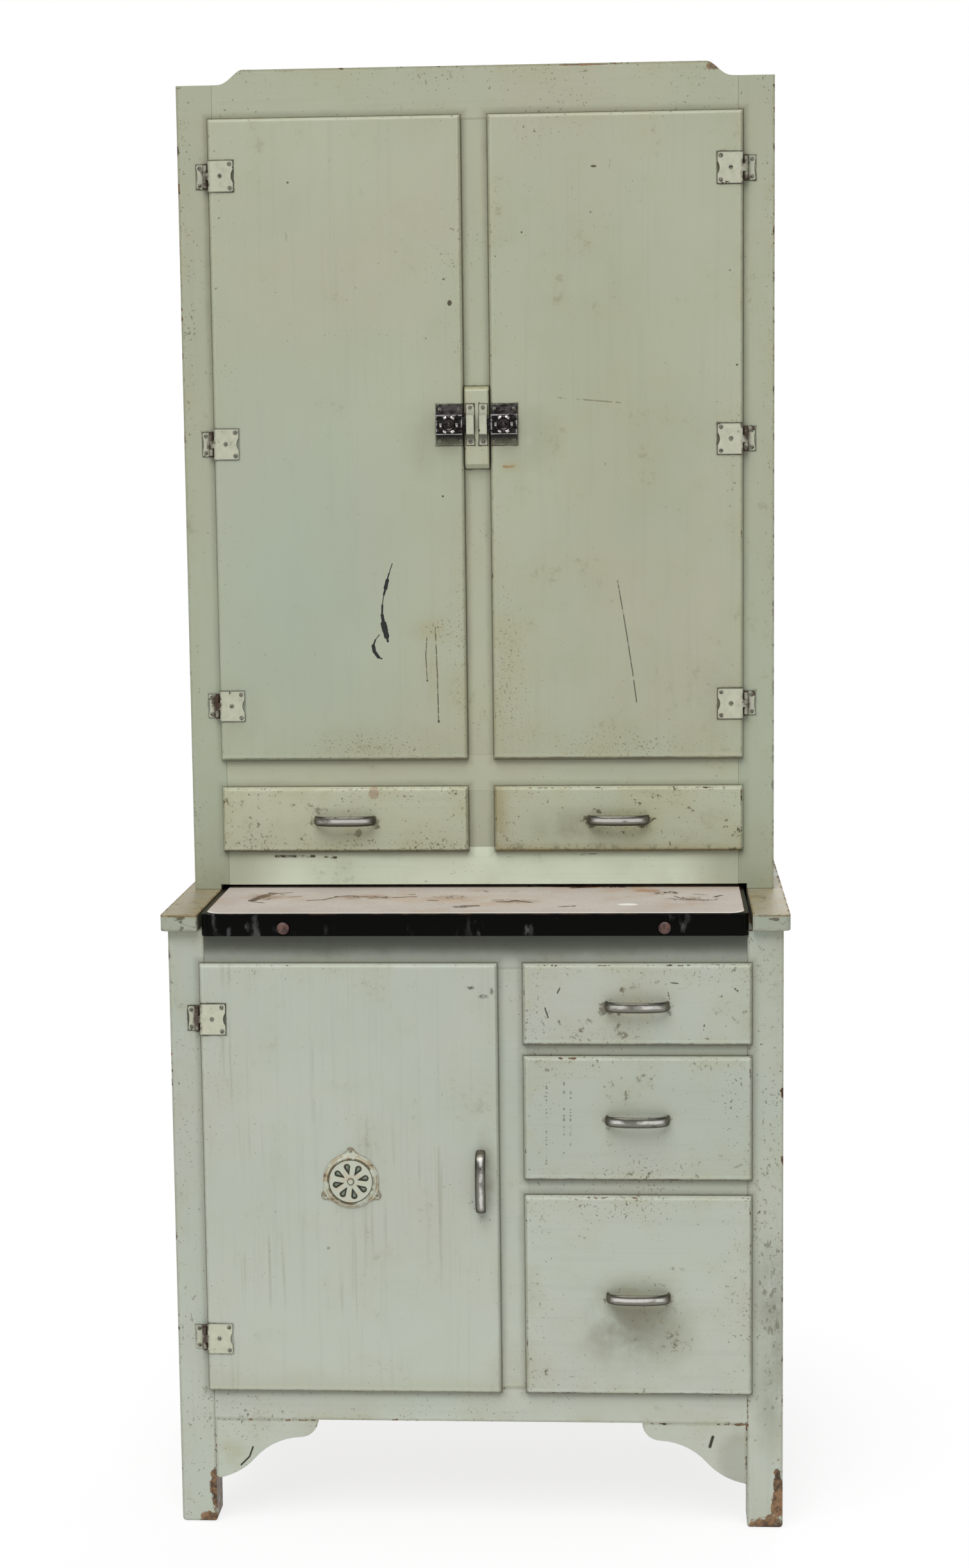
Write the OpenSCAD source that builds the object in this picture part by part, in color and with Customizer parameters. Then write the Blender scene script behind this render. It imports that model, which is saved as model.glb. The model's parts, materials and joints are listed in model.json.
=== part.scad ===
// Two-part painted kitchen cabinet: a cupboard and drawer base on four posts,
// a worktop with a sliding enamelled sheet, and a shallower upper cupboard.
// +Z is up, the fronts face -Y, and the origin is under the middle of the whole piece.

/* [Lower cabinet] */
// Width over the corner posts
base_w = 836; // [760:1:960]
// Depth from the frame face to the back
base_d = 528; // [460:1:620]
// Clear height of the legs under the bottom rail
leg_h = 150; // [110:1:200]
// Side of the square corner posts
post = 49; // [42:1:58]
// Round worn off the foot of each post
foot_r = 7; // [3:0.5:10]
// Height of the bottom rail
base_bottom_rail_h = 49; // [36:1:70]
// Height of the rail above the cupboard and drawers
base_top_rail_h = 52; // [36:1:70]
// Width of the cupboard opening
cupboard_w = 394; // [330:1:430]
// Width of the stile between cupboard and drawers
divider_w = 47; // [40:1:60]
// Height of the cupboard shelf above the floor board
base_shelf_rise = 285; // [150:1:420]
// Distance of the shelf edge behind the frame
base_shelf_setback = 60; // [40:1:160]
// Inset of the side boards from the outer face of the posts
side_inset = 2; // [0.5:0.5:6]
// Length of a corner bracket along the rail
bracket_l = 144; // [110:1:180]
// Height of a corner bracket down the leg
bracket_h = 86; // [60:1:105]

/* [Lower drawers] */
// Opening height of the top drawer
top_drawer_h = 100; // [80:1:130]
// Opening height of the middle drawer
middle_drawer_h = 160; // [130:1:200]
// Opening height of the bottom drawer
bottom_drawer_h = 268; // [220:1:320]
// Height of the rail under the top drawer
high_drawer_rail_h = 28; // [24:1:44]
// Height of the rail under the middle drawer
low_drawer_rail_h = 34; // [24:1:50]

/* [Worktop] */
// Overhang of the worktop in front of the base frame
top_overhang = 12; // [8:0.5:20]
// Overhang of the wooden ends beyond the posts
end_overhang = 9; // [4:0.5:16]
// Thickness of the wooden ends
end_t = 22; // [18:0.5:30]
// Width of a wooden end
end_w = 51; // [40:0.5:58]
// Round of the outer front corner of a wooden end
end_corner_r = 10; // [4:0.5:18]
// Front to back width of the fixed board behind the sliding sheet
rear_board_w = 57; // [40:1:120]
// Thickness of the enamelled steel
sheet_t = 1.2; // [0.8:0.1:2]
// Height of the sheet above the wooden ends
sheet_rise = 2; // [1:0.5:4]
// Depth of the turned-down front rim
rim_h = 30.5; // [26:0.5:38]
// Rolled edge between sheet and rim
rim_edge_r = 4; // [2.5:0.5:6]
// Plan radius of the front corners of the sheet
sheet_corner_r = 11; // [6:0.5:18]
// Gap between the sheet and each wooden end
sheet_side_gap = 5; // [2:0.5:8]
// Diameter of a pull button on the rim
button_d = 17; // [12:0.5:22]
// Projection of a pull button
button_out = 6; // [4:0.5:9]
// Distance of each pull button from the middle
button_x = 258; // [180:1:320]
// Height of the slot that the sheet slides through
slot_h = 7; // [4.5:0.5:12]

/* [Upper cabinet] */
// Inset of the upper cabinet's sides from those of the base
upper_inset = 4; // [0:0.5:30]
// Depth from the frame face to the back
upper_d = 320; // [280:1:360]
// Width of the outer stiles
stile_w = 50; // [42:1:64]
// Width of the stiles in the middle
mullion_w = 50; // [44:1:64]
// Height of the rail under the upper drawers
upper_bottom_rail_h = 54; // [40:1:70]
// Opening height of the upper drawers
upper_drawer_h = 81; // [64:1:110]
// Height of the rail between doors and drawers
mid_rail_h = 51; // [40:1:70]
// Opening height of the upper doors
upper_door_h = 883; // [780:1:960]
// Height of the crest rail at its ends
crest_end_h = 53; // [40:1:80]
// Rise of the crest rail in the middle
crest_rise = 20; // [8:1:34]
// Width of each curved step of the crest rail
crest_step_w = 38; // [20:1:70]
// Distance of each curved step from the joint with the stile
crest_step_in = 6; // [2:1:60]
// Height of the lower shelf above the dust board
low_shelf_rise = 284; // [200:1:360]
// Height of the upper shelf above the dust board
high_shelf_rise = 584; // [480:1:700]

/* [Boards and fits] */
// Distance of the upper shelves behind the frame
shelf_setback = 6; // [2:1:40]
// Thickness of the front frames
frame_t = 20; // [18:0.5:25]
// Thickness of sides, shelves, roof and partition
board_t = 16; // [12:0.5:20]
// Thickness of floor and dust boards
floor_t = 12; // [9:0.5:16]
// Thickness of the back boards
back_t = 8; // [5:0.5:12]
// Depth of the grooves that hold the shelves
groove = 5; // [3:0.5:8]
// Overlap of door and drawer lips on the frame
lip = 6; // [4:0.5:9]
// Projection of doors and drawers from the frame
proud = 9.5; // [8:0.5:13]
// Thickness of a door or drawer front behind the frame face
plug_t = 9.5; // [7:0.5:14]
// Round of the front edges of doors and drawers
edge_r = 6; // [3:0.5:7]
// Air behind a lip
lip_gap = 0.5; // [0.3:0.1:1]
// Air round a door or drawer front in its opening
plug_gap = 2; // [1.5:0.1:3]
// Thickness of drawer sides and backs
drawer_side_t = 11; // [8:0.5:14]
// Thickness of drawer bottoms
drawer_bottom_t = 5; // [3:0.5:8]
// Air beside a drawer box in its opening
drawer_side_gap = 1.5; // [1:0.1:3]
// Air above a drawer box in its opening
drawer_top_gap = 6; // [4:0.5:12]
// Air behind a drawer box
drawer_back_gap = 10; // [5:1:30]
// Height of the drawer guides
guide_h = 25; // [15:1:40]
// Thickness of a drawer runner
runner_t = 18; // [14:0.5:22]
// Width of a runner under a drawer side
runner_reach = 12; // [8:0.5:20]
// Running clearance of everything that slides
slide_gap = 0.3; // [0.2:0.05:0.6]
// Glue line between the boards of one drawer
glue = 0.1; // [0.05:0.05:0.2]

/* [Hinges] */
// Height of a door leaf
hinge_h = 42.5; // [36:0.5:50]
// Width of a door leaf
hinge_leaf_w = 35; // [28:0.5:42]
// Depth of the waist in the outer edge of a door leaf
hinge_waist = 3.2; // [1:0.1:5]
// Thickness of the leaves
hinge_t = 1.5; // [1.2:0.1:2]
// Radius of the knuckles
knuckle_r = 3.6; // [3.2:0.1:4]
// Height of the barrel
barrel_h = 31; // [26:0.5:36]
// Height of the middle knuckle
mid_knuckle_h = 10.4; // [8:0.2:13]
// Radius of the hinge pins
pin_r = 1.7; // [1.3:0.05:2]
// Running clearance of pins and spindles
pin_clear = 0.05; // [0.03:0.01:0.08]
// Distance of the hinge axis outside the edge of the door
axis_out = 4.4; // [4.2:0.1:5.5]
// Distance of the hinge axis in front of the frame
axis_up = 6; // [5.2:0.1:6.6]
// Height of a frame leaf
frame_leaf_h = 33; // [31:0.5:37]
// Reach of a frame leaf beyond the hinge axis
frame_leaf_w = 13.3; // [11:0.1:16]
// Distance of the outer hinges from the ends of an upper opening
upper_hinge_end = 72; // [50:1:120]
// Distance of the hinges from the ends of the lower opening
lower_hinge_end = 70; // [50:1:120]

/* [Latches] */
// Width of a latch
latch_w = 36.6; // [32:0.2:42]
// Height of the latch plate
latch_h = 56.4; // [52:0.2:64]
// Thickness of the latch plate and case wall
latch_t = 1.6; // [1.2:0.1:2]
// Height of the raised case
case_h = 30.5; // [26:0.5:36]
// Projection of the case from the door
case_out = 9.6; // [8.6:0.1:12]
// Distance of the latch from the edge of the door
latch_inset = 1; // [0.5:0.1:3]
// Height of the latches above the dust board
latch_rise = 465; // [360:1:560]
// Radius of a latch knob
latch_knob_r = 13.3; // [11:0.1:15]
// Height of a latch knob over its case
latch_knob_out = 9.6; // [8:0.1:14]
// Radius of the spindle in the case wall
spindle_r = 5; // [4:0.1:6]
// Distance of the resting bolt from the strike
bolt_gap = 0.4; // [0.3:0.1:1]
// Distance that the bolt can be thrown into the strike
bolt_throw = 3; // [2:0.1:3.4]
// Distance that the knob draws the bolt back
bolt_draw = 5.4; // [4:0.1:6]
// Width of the strike block
block_w = 34.6; // [30:0.2:36]
// Height of the strike block
block_h = 114; // [96:1:130]
// Thickness of the strike block
block_t = 11; // [10:0.1:11.8]
// Width of a strike
strike_w = 11; // [9:0.2:12]
// Distance of a strike from the middle
strike_x = 3.5; // [2:0.1:4]
// Height of the raised box of a strike
strike_box_h = 26; // [23:0.5:34]
// Projection of a strike from its block
strike_out = 8; // [7.8:0.1:10]

/* [Vent] */
// Radius of the vent plate
vent_r = 38.4; // [32:0.2:44]
// Radius of the turning shutter
shutter_r = 29.5; // [25:0.1:31]
// Number of slots
vent_slots = 8; // [6:1:8]
// Radius of a slot at its wide end
slot_r = 3.9; // [3:0.1:4]
// Distance of a slot's wide end from the middle
slot_out = 20.8; // [18:0.1:21]
// Distance of a slot's point from the middle
slot_in = 10.3; // [9:0.1:12]
// Turn of the resting shutter, closed over the plate's slots
shutter_turn = 13; // [0:1:22]
// Radius of the vent's rivet
rivet_r = 2.5; // [2:0.1:3.5]

/* [Pulls] */
// Distance between the feet of a pull
pull_l = 83; // [60:1:110]
// Width of a pull
pull_w = 14.4; // [10:0.2:18]
// Thickness of a pull
pull_t = 5; // [3.5:0.1:7]
// Projection of a pull
pull_out = 22; // [18:0.5:28]
// Distance of the upright pull from the edge of the lower door
door_pull_x = 24.5; // [20:0.5:60]

/* [Hidden] */
$fn = 48;

// Arc steps of an outline
steps = 7;
// Overlap that makes sure of a cut or a join
over = 1;
bark = "#b1b89d";
pale = "#bcc3b0";
bare = "#b08a5c";
metal = "#8f8d89";

// Depths, from front to back
overall_d = base_d + proud + pull_out;
back_y = overall_d / 2;
base_y = back_y - base_d;
top_y = base_y - top_overhang;
upper_y = back_y - upper_d;

// Heights, from the floor up
base_open_z = leg_h + base_bottom_rail_h;
low_rail_z = base_open_z + bottom_drawer_h;
middle_open_z = low_rail_z + low_drawer_rail_h;
high_rail_z = middle_open_z + middle_drawer_h;
top_open_z = high_rail_z + high_drawer_rail_h;
base_rail_z = top_open_z + top_drawer_h;
base_h = base_rail_z + base_top_rail_h;
deck_z = base_h + end_t;
sheet_z = deck_z + sheet_rise;
slot_z = deck_z + slot_h;
upper_open_z = slot_z + upper_bottom_rail_h;
mid_rail_z = upper_open_z + upper_drawer_h;
door_z = mid_rail_z + mid_rail_h;
crest_z = door_z + upper_door_h;
stile_z = crest_z + crest_end_h;
base_shelf_z = base_open_z + base_shelf_rise;
low_shelf_z = door_z + low_shelf_rise;
high_shelf_z = door_z + high_shelf_rise;
latch_z = door_z + latch_rise;

// Widths
upper_w = base_w - 2 * upper_inset;
base_in = base_w / 2 - post;
side_in = base_w / 2 - side_inset - board_t;
cupboard_x = -base_in + cupboard_w;
drawer_x = cupboard_x + divider_w;
partition_x = cupboard_x + (divider_w - board_t) / 2;
end_x = base_w / 2 + end_overhang;
end_in = end_x - end_w;
sheet_x = end_in - sheet_side_gap;
upper_in = upper_w / 2 - stile_w;
upper_side_in = upper_w / 2 - board_t;
upper_mid = mullion_w / 2;

// Hinge heights and latch places
upper_hinges = [door_z + upper_hinge_end, door_z + upper_door_h / 2, crest_z - upper_hinge_end];
lower_hinges = [base_open_z + lower_hinge_end, base_rail_z - lower_hinge_end];
latch_x = upper_mid - lip + latch_inset + latch_w / 2;
cavity_x = latch_w / 2 - latch_t - 0.3;
bolt_z = 10;
bolt_end = latch_x - strike_x - strike_w - bolt_gap;
lower_door_x = (cupboard_x - base_in) / 2;
lower_door_z = (base_open_z + base_rail_z) / 2;
lower_drawers_x = (drawer_x + base_in) / 2;
upper_drawer_x = (upper_in + upper_mid) / 2;
rear_gap = 3;
sheet_back_y = back_y - rear_board_w - rear_gap;

// Points of an arc round a centre
function arc(cx, cy, r, a0, a1, n = steps) =
    [for (i = [0:n]) [cx + r * cos(a0 + (a1 - a0) * i / n), cy + r * sin(a0 + (a1 - a0) * i / n)]];

// Box between two corners
module box(lo, hi) {
    translate(lo) cube(hi - lo);
}

// A copy on each side of the middle plane
module both_sides() {
    children();
    mirror([1, 0, 0]) children();
}

// Solid of an outline in X and Z, from the plane y = 0 towards the front
module upright(t) {
    rotate([90, 0, 0]) linear_extrude(t) children();
}

// Solid of an outline in Y and Z, centred on x = 0
module sideways(l) {
    rotate([90, 0, 90]) linear_extrude(l, center = true) children();
}

// ---- Lower cabinet ----

// Outline of a post from one side, with its worn foot
module post_outline() {
    h = post / 2;
    polygon(concat(arc(foot_r - h, foot_r, foot_r, 180, 270), arc(h - foot_r, foot_r, foot_r, 270, 360),
        [[h, base_h], [-h, base_h]]));
}

module corner_post() {
    intersection() {
        translate([0, post / 2, 0]) upright(post) post_outline();
        sideways(post) post_outline();
    }
}

module corner_posts() {
    color(pale) both_sides() for (y = [base_y + post / 2, back_y - post / 2])
        translate([base_w / 2 - post / 2, y, 0]) corner_post();
}

// Space of the posts, for boards that are notched round them
module post_space() {
    both_sides() for (y = [base_y - over, back_y - post - glue])
        translate([base_in - glue, y, 0]) cube([post + over, post + over + glue, base_h + over]);
}

module base_top_rail() {
    color(pale) box([-base_in, base_y, base_rail_z], [base_in, base_y + frame_t, base_h]);
}

// Barrel of the spring catch sits in the edge of this stile
catch_r = 3.5;
catch_l = 19;
catch_z = base_rail_z - 90;
catch_y = base_y + plug_t / 2;
module base_divider() {
    color(pale) difference() {
        box([cupboard_x, base_y, base_open_z], [drawer_x, base_y + frame_t, base_rail_z]);
        translate([cupboard_x - over, catch_y, catch_z]) rotate([0, 90, 0])
            cylinder(r = catch_r + pin_clear, h = catch_l + over + glue);
    }
}

module bullet_catch() {
    ball_r = 3;
    ball_out = plug_gap - 0.8;
    color(metal) translate([cupboard_x, catch_y, catch_z]) {
        rotate([0, 90, 0]) cylinder(r = catch_r, h = catch_l);
        translate([ball_r - ball_out, 0, 0]) sphere(r = ball_r);
    }
}

module drawer_rails() {
    color(pale) {
        box([drawer_x, base_y, low_rail_z], [base_in, base_y + frame_t, middle_open_z]);
        box([drawer_x, base_y, high_rail_z], [base_in, base_y + frame_t, top_open_z]);
    }
}

module base_bottom_rail() {
    color(pale) box([-base_in, base_y, leg_h], [base_in, base_y + frame_t, base_open_z]);
}

// Ogee outline of a bracket: round nose, hollow sweep and swelling foot, three arcs
// that run into one another, drawn at a reference size and stretched to the real one
ref_l = 144;
ref_h = 86.8;
nose_r = 25.5;
bend_r = 89.7;
lead_a = 2.2;
bend_a = 49.2;
foot_a = 8.6;
nose_x = ref_l - nose_r;
sweep_x = nose_x + (nose_r + bend_r) * sin(lead_a);
sweep_z = -(nose_r + bend_r) * cos(lead_a);
swell_x = sweep_x - 2 * bend_r * sin(bend_a);
swell_z = sweep_z + 2 * bend_r * cos(bend_a);
sweep_step = (bend_a - lead_a) / steps;
swell_step = (bend_a - foot_a) / steps;
function ogee() = concat([[0, 0]], arc(nose_x, 0, nose_r, 0, lead_a - 90),
    arc(sweep_x, sweep_z, bend_r, 90 + lead_a + sweep_step, 90 + bend_a, steps - 1),
    arc(swell_x, swell_z, bend_r, bend_a - 90 - swell_step, foot_a - 90, steps - 1), [[0, -ref_h]]);

module corner_brackets() {
    color(pale) both_sides() translate([-base_in, base_y + frame_t, leg_h]) upright(frame_t)
        polygon([for (p = ogee()) [p[0] * bracket_l / ref_l, p[1] * bracket_h / ref_h]]);
}

module base_sides() {
    color(pale) both_sides() difference() {
        box([side_in, base_y + post, leg_h], [side_in + board_t, back_y - post, base_h]);
        // The left side board holds the shelf, the right one is made alike
        box([side_in - over, base_y + frame_t + base_shelf_setback - glue, base_shelf_z - board_t - glue],
            [side_in + groove + glue, back_y, base_shelf_z + glue]);
    }
}

module base_back() {
    color(bare) box([-base_in, back_y - back_t, leg_h], [base_in, back_y, base_h]);
}

module base_floor() {
    color(bare) difference() {
        box([-side_in, base_y + frame_t, base_open_z - floor_t], [side_in, back_y - back_t, base_open_z]);
        post_space();
    }
}

module base_partition() {
    color(bare) difference() {
        box([partition_x, base_y + frame_t, base_open_z], [partition_x + board_t, back_y - back_t, base_h]);
        box([partition_x - over, base_y + frame_t + base_shelf_setback - glue, base_shelf_z - board_t - glue],
            [partition_x + groove + glue, back_y, base_shelf_z + glue]);
    }
}

module base_shelf() {
    color(bare) difference() {
        box([-side_in - groove, base_y + frame_t + base_shelf_setback, base_shelf_z - board_t],
            [partition_x + groove, back_y - back_t, base_shelf_z]);
        post_space();
    }
}

// Strip along the depth of the base, from one X and Z to another
module strip(x0, x1, z0, z1) {
    box([min(x0, x1), base_y + frame_t, z0], [max(x0, x1), back_y - back_t, z1]);
}

// Guide beside a drawer, from the wall that holds it to the side of the opening at
// open_x, and the runner under the drawer; the bottom drawer slides on the floor board
module drawer_guides(wall_x, open_x) {
    side = sign(open_x - wall_x);
    guide_x = open_x - side * slide_gap;
    strip(wall_x, guide_x, base_open_z, base_open_z + guide_h);
    for (z = [middle_open_z, top_open_z]) {
        strip(wall_x, guide_x, z - runner_t, z + guide_h);
        strip(wall_x, open_x + side * runner_reach, z - runner_t, z);
    }
}

module drawer_runners() {
    color(bare) difference() {
        union() {
            drawer_guides(partition_x + board_t, drawer_x);
            drawer_guides(side_in, base_in);
        }
        post_space();
    }
}

// ---- Worktop ----

module worktop_end() {
    r = end_corner_r;
    color(pale) translate([0, 0, base_h]) linear_extrude(end_t) polygon(concat(
        [[end_in, back_y], [end_in, top_y]], arc(end_x - r, top_y + r, r, 270, 360), [[end_x, back_y]]));
}

module worktop_ends() {
    both_sides() worktop_end();
}

// Bearers under the sliding sheet, and the fixed board behind it
bearer_h = 22;
bearer_reach = 24;
module worktop_bearers() {
    color(bare) {
        both_sides() box([base_in - bearer_reach, base_y + post, base_h - bearer_h],
            [side_in, back_y - max(post, rear_board_w) - glue, base_h]);
        box([-end_in, back_y - rear_board_w, base_h], [end_in, back_y, deck_z]);
    }
}

// Plan of the sheet, drawn in by a margin
module sheet_plan(margin) {
    x = sheet_x - margin;
    r = sheet_corner_r - margin;
    polygon(concat([[x, sheet_back_y - margin], [-x, sheet_back_y - margin]],
        arc(r - x, top_y + margin + r, r, 180, 270), arc(x - r, top_y + margin + r, r, 270, 360)));
}

// Side view of the sheet with its rolled front edge, drawn in by a margin
module sheet_side(margin) {
    r = rim_edge_r - margin;
    top = sheet_z - margin;
    front = top_y + margin;
    polygon(concat([[front, sheet_z - 2 * rim_h]], arc(front + r, top - r, r, 180, 90),
        [[sheet_back_y + over, top], [sheet_back_y + over, sheet_z - 2 * rim_h]]));
}

module sheet_body(margin) {
    intersection() {
        translate([0, 0, sheet_z - 2 * rim_h]) linear_extrude(2 * rim_h) sheet_plan(margin);
        sideways(2 * base_w) sheet_side(margin);
    }
}

module enamel_sheet() {
    color("#cfcac2") difference() {
        sheet_body(0);
        sheet_body(sheet_t);
        // The rim is deep only where it hangs in front of the base
        box([-base_w, top_y - over, 0], [base_w, back_y, sheet_z - rim_h]);
        box([-base_w, base_y - 2, 0], [base_w, back_y, base_h + 2 * slide_gap]);
    }
}

module sheet_core() {
    color(bare) difference() {
        sheet_body(sheet_t + glue);
        box([-base_w, top_y, 0], [base_w, back_y, base_h + slide_gap]);
    }
}

module pull_buttons() {
    neck = 2.5;
    r = button_d / 2;
    dome = [for (i = [1:steps]) let (a = 90 * i / steps) [r * cos(a), neck + (button_out - neck) * sin(a)]];
    color("#3a2c26") both_sides() translate([button_x, top_y, sheet_z - rim_h / 2 - rim_edge_r])
        rotate([90, 0, 0]) rotate_extrude() polygon(concat([[0, 0], [r - 2, 0], [r, neck]], dome));
}

// ---- Upper cabinet ----

module upper_sides() {
    color(pale) both_sides() difference() {
        box([upper_side_in, upper_y + frame_t, deck_z], [upper_w / 2, back_y, stile_z]);
        for (z = [low_shelf_z, high_shelf_z])
            box([upper_side_in - over, upper_y + frame_t + shelf_setback - glue, z - board_t - glue],
                [upper_side_in + groove + glue, back_y - back_t + glue, z + glue]);
    }
}

// Board between the upper sides, behind the frame
module upper_board(z, t) {
    color(bare) box([-upper_side_in, upper_y + frame_t, z - t], [upper_side_in, back_y - back_t, z]);
}

roof_drop = 10;
module upper_roof() {
    upper_board(stile_z - roof_drop, board_t);
}

module upper_floor() {
    upper_board(upper_open_z, floor_t);
}

module upper_dust_board() {
    upper_board(door_z, floor_t);
}

module upper_back() {
    color(bare) box([-upper_side_in, back_y - back_t, deck_z], [upper_side_in, back_y, stile_z - roof_drop]);
}

// The foot of each stile is cut back for the sliding sheet
module upper_stiles() {
    color(bark) both_sides() difference() {
        box([upper_in, upper_y, deck_z], [upper_w / 2, upper_y + frame_t, stile_z]);
        box([0, upper_y - over, deck_z - over], [sheet_x + sheet_side_gap, upper_y + frame_t + over, slot_z]);
    }
}

// Half outline of the crest, from its end up the curved step to the straight top
step_bend = 1.2;
function crest_z_at(u) = stile_z + crest_rise * (1 - cos(180 * pow(u, step_bend))) / 2;
function crest_half() = [for (i = [0:2 * steps]) let (u = i / (2 * steps))
    [upper_in - crest_step_in - crest_step_w * u, crest_z_at(u)]];

module crest_rail() {
    half = crest_half();
    n = len(half) - 1;
    color(bark) translate([0, upper_y + frame_t, 0]) upright(frame_t) polygon(concat(
        [[-upper_in, crest_z], [upper_in, crest_z], [upper_in, stile_z]], half,
        [for (i = [n:-1:0]) [-half[i][0], half[i][1]]], [[-upper_in, stile_z]]));
}

module centre_stiles() {
    color(bark) {
        box([-upper_mid, upper_y, door_z], [upper_mid, upper_y + frame_t, crest_z]);
        box([-upper_mid, upper_y, upper_open_z], [upper_mid, upper_y + frame_t, mid_rail_z]);
    }
}

module upper_middle_rail() {
    color(bark) box([-upper_in, upper_y, mid_rail_z], [upper_in, upper_y + frame_t, door_z]);
}

module upper_bottom_rail() {
    color(bark) box([-upper_in, upper_y, slot_z], [upper_in, upper_y + frame_t, upper_open_z]);
}

module upper_shelves() {
    color(bare) for (z = [low_shelf_z, high_shelf_z])
        box([-upper_side_in - groove, upper_y + frame_t + shelf_setback, z - board_t],
            [upper_side_in + groove, back_y - back_t, z]);
}

module upper_drawer_guides() {
    color(bare) {
        both_sides() box([upper_in + slide_gap, upper_y + frame_t, upper_open_z],
            [upper_side_in, back_y - back_t, upper_open_z + guide_h]);
        box([slide_gap - upper_mid, upper_y + frame_t, upper_open_z],
            [upper_mid - slide_gap, back_y - back_t, upper_open_z + guide_h]);
    }
}

// ---- Doors and drawers ----

// Round-edged outline of a lip, seen from above or from the side, at depth d
module lip_outline(w, d) {
    h = w / 2;
    polygon(concat([[h, -lip_gap], [-h, -lip_gap]], arc(edge_r - h, edge_r - d, edge_r, 180, 270),
        arc(h - edge_r, edge_r - d, edge_r, 270, 360)));
}

// Lipped front for an opening of w by h, centred on it, with y = 0 on the frame face
module lipped_front(w, h) {
    lw = w + 2 * lip;
    lh = h + 2 * lip;
    intersection() {
        linear_extrude(lh, center = true) lip_outline(lw, proud);
        rotate([0, -90, 0]) linear_extrude(lw, center = true) lip_outline(lh, proud);
    }
    box([plug_gap - w / 2, -proud / 2, plug_gap - h / 2], [w / 2 - plug_gap, plug_t, h / 2 - plug_gap]);
}

module upper_door() {
    color(bark) translate([upper_drawer_x, upper_y, (door_z + crest_z) / 2])
        lipped_front(upper_in - upper_mid, upper_door_h);
}

module upper_right_door() {
    upper_door();
}

module upper_left_door() {
    mirror([1, 0, 0]) upper_door();
}

vent_hole_r = 27;
module lower_door() {
    color(pale) difference() {
        translate([lower_door_x, base_y, lower_door_z])
            lipped_front(cupboard_w, base_rail_z - base_open_z);
        translate([lower_door_x, base_y - proud - over, lower_door_z]) rotate([-90, 0, 0])
            cylinder(r = vent_hole_r, h = proud + plug_t + 2 * over);
    }
}

// Drawer for an opening of w by h, with its lipped front, two sides, back and bottom
bottom_rise = 6;
bottom_groove = 4;
module drawer(w, h, l) {
    x = w / 2 - drawer_side_gap;
    z0 = slide_gap - h / 2;
    z1 = h / 2 - drawer_top_gap;
    y0 = plug_t + glue;
    y1 = y0 + l;
    inner = x - drawer_side_t;
    z_bottom = z0 + bottom_rise;
    lipped_front(w, h);
    both_sides() difference() {
        box([inner, y0, z0], [x, y1, z1]);
        box([inner - over, y0 - over, z_bottom - glue],
            [inner + bottom_groove + glue, y1 - drawer_side_t, z_bottom + drawer_bottom_t + glue]);
    }
    box([glue - inner, y1 - drawer_side_t, z0], [inner - glue, y1, z1]);
    box([-inner - bottom_groove, y0, z_bottom],
        [inner + bottom_groove, y1 - drawer_side_t - glue, z_bottom + drawer_bottom_t]);
}

// Length of the drawer boxes in a case of depth d
function drawer_l(d) = d - plug_t - glue - back_t - drawer_back_gap;

module upper_drawer() {
    color(bark) translate([upper_drawer_x, upper_y, (upper_open_z + mid_rail_z) / 2])
        drawer(upper_in - upper_mid, upper_drawer_h, drawer_l(upper_d));
}

module upper_right_drawer() {
    upper_drawer();
}

module upper_left_drawer() {
    mirror([1, 0, 0]) upper_drawer();
}

module lower_drawer(z, h) {
    color(pale) translate([lower_drawers_x, base_y, z + h / 2])
        drawer(base_in - drawer_x, h, drawer_l(base_d));
}

module top_drawer() {
    lower_drawer(top_open_z, top_drawer_h);
}

module middle_drawer() {
    lower_drawer(middle_open_z, middle_drawer_h);
}

module bottom_drawer() {
    lower_drawer(base_open_z, bottom_drawer_h);
}

// ---- Hinges: drawn for a door on the right of its axis, x = 0 on the edge of the door ----

leaf_corner_r = 3;
waist_half = 9;
web = 2.8;

// Outline of a door leaf with two ears and a waist between them
module door_leaf_outline() {
    h = hinge_h / 2;
    r = leaf_corner_r;
    waist_r = (pow(waist_half, 2) + pow(hinge_waist, 2)) / (2 * hinge_waist);
    turn = asin(waist_half / waist_r);
    polygon(concat([[0, h], [0, -h]], arc(hinge_leaf_w - r, r - h, r, 270, 360),
        arc(hinge_leaf_w - hinge_waist + waist_r, 0, waist_r, 180 + turn, 180 - turn),
        arc(hinge_leaf_w - r, h - r, r, 0, 90)));
}

module pin_bore() {
    translate([-axis_out, -axis_up, -hinge_h]) cylinder(r = pin_r + pin_clear, h = 2 * hinge_h);
}

module door_leaf() {
    front = proud + hinge_t;
    difference() {
        union() {
            translate([0, -proud, 0]) upright(hinge_t) door_leaf_outline();
            translate([-axis_out, -axis_up, 0]) cylinder(r = knuckle_r, h = mid_knuckle_h, center = true);
            box([-axis_out, -front, -mid_knuckle_h / 2], [over, -proud, mid_knuckle_h / 2]);
            box([-axis_out, -front, -mid_knuckle_h / 2], [-slide_gap, web - front, mid_knuckle_h / 2]);
        }
        pin_bore();
    }
}

// Outline of a frame leaf with a round ear at each screw
module frame_leaf_outline() {
    h = frame_leaf_h / 2;
    out = -axis_out - frame_leaf_w;
    r = leaf_corner_r;
    polygon(concat([[-axis_out - knuckle_r + over, -h], [-axis_out - knuckle_r + over, h]],
        arc(out + r, h - r, r, 90, 180), [[out + hinge_t, waist_half / 2], [out + hinge_t, -waist_half / 2]],
        arc(out + r, r - h, r, 180, 270)));
}

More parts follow.
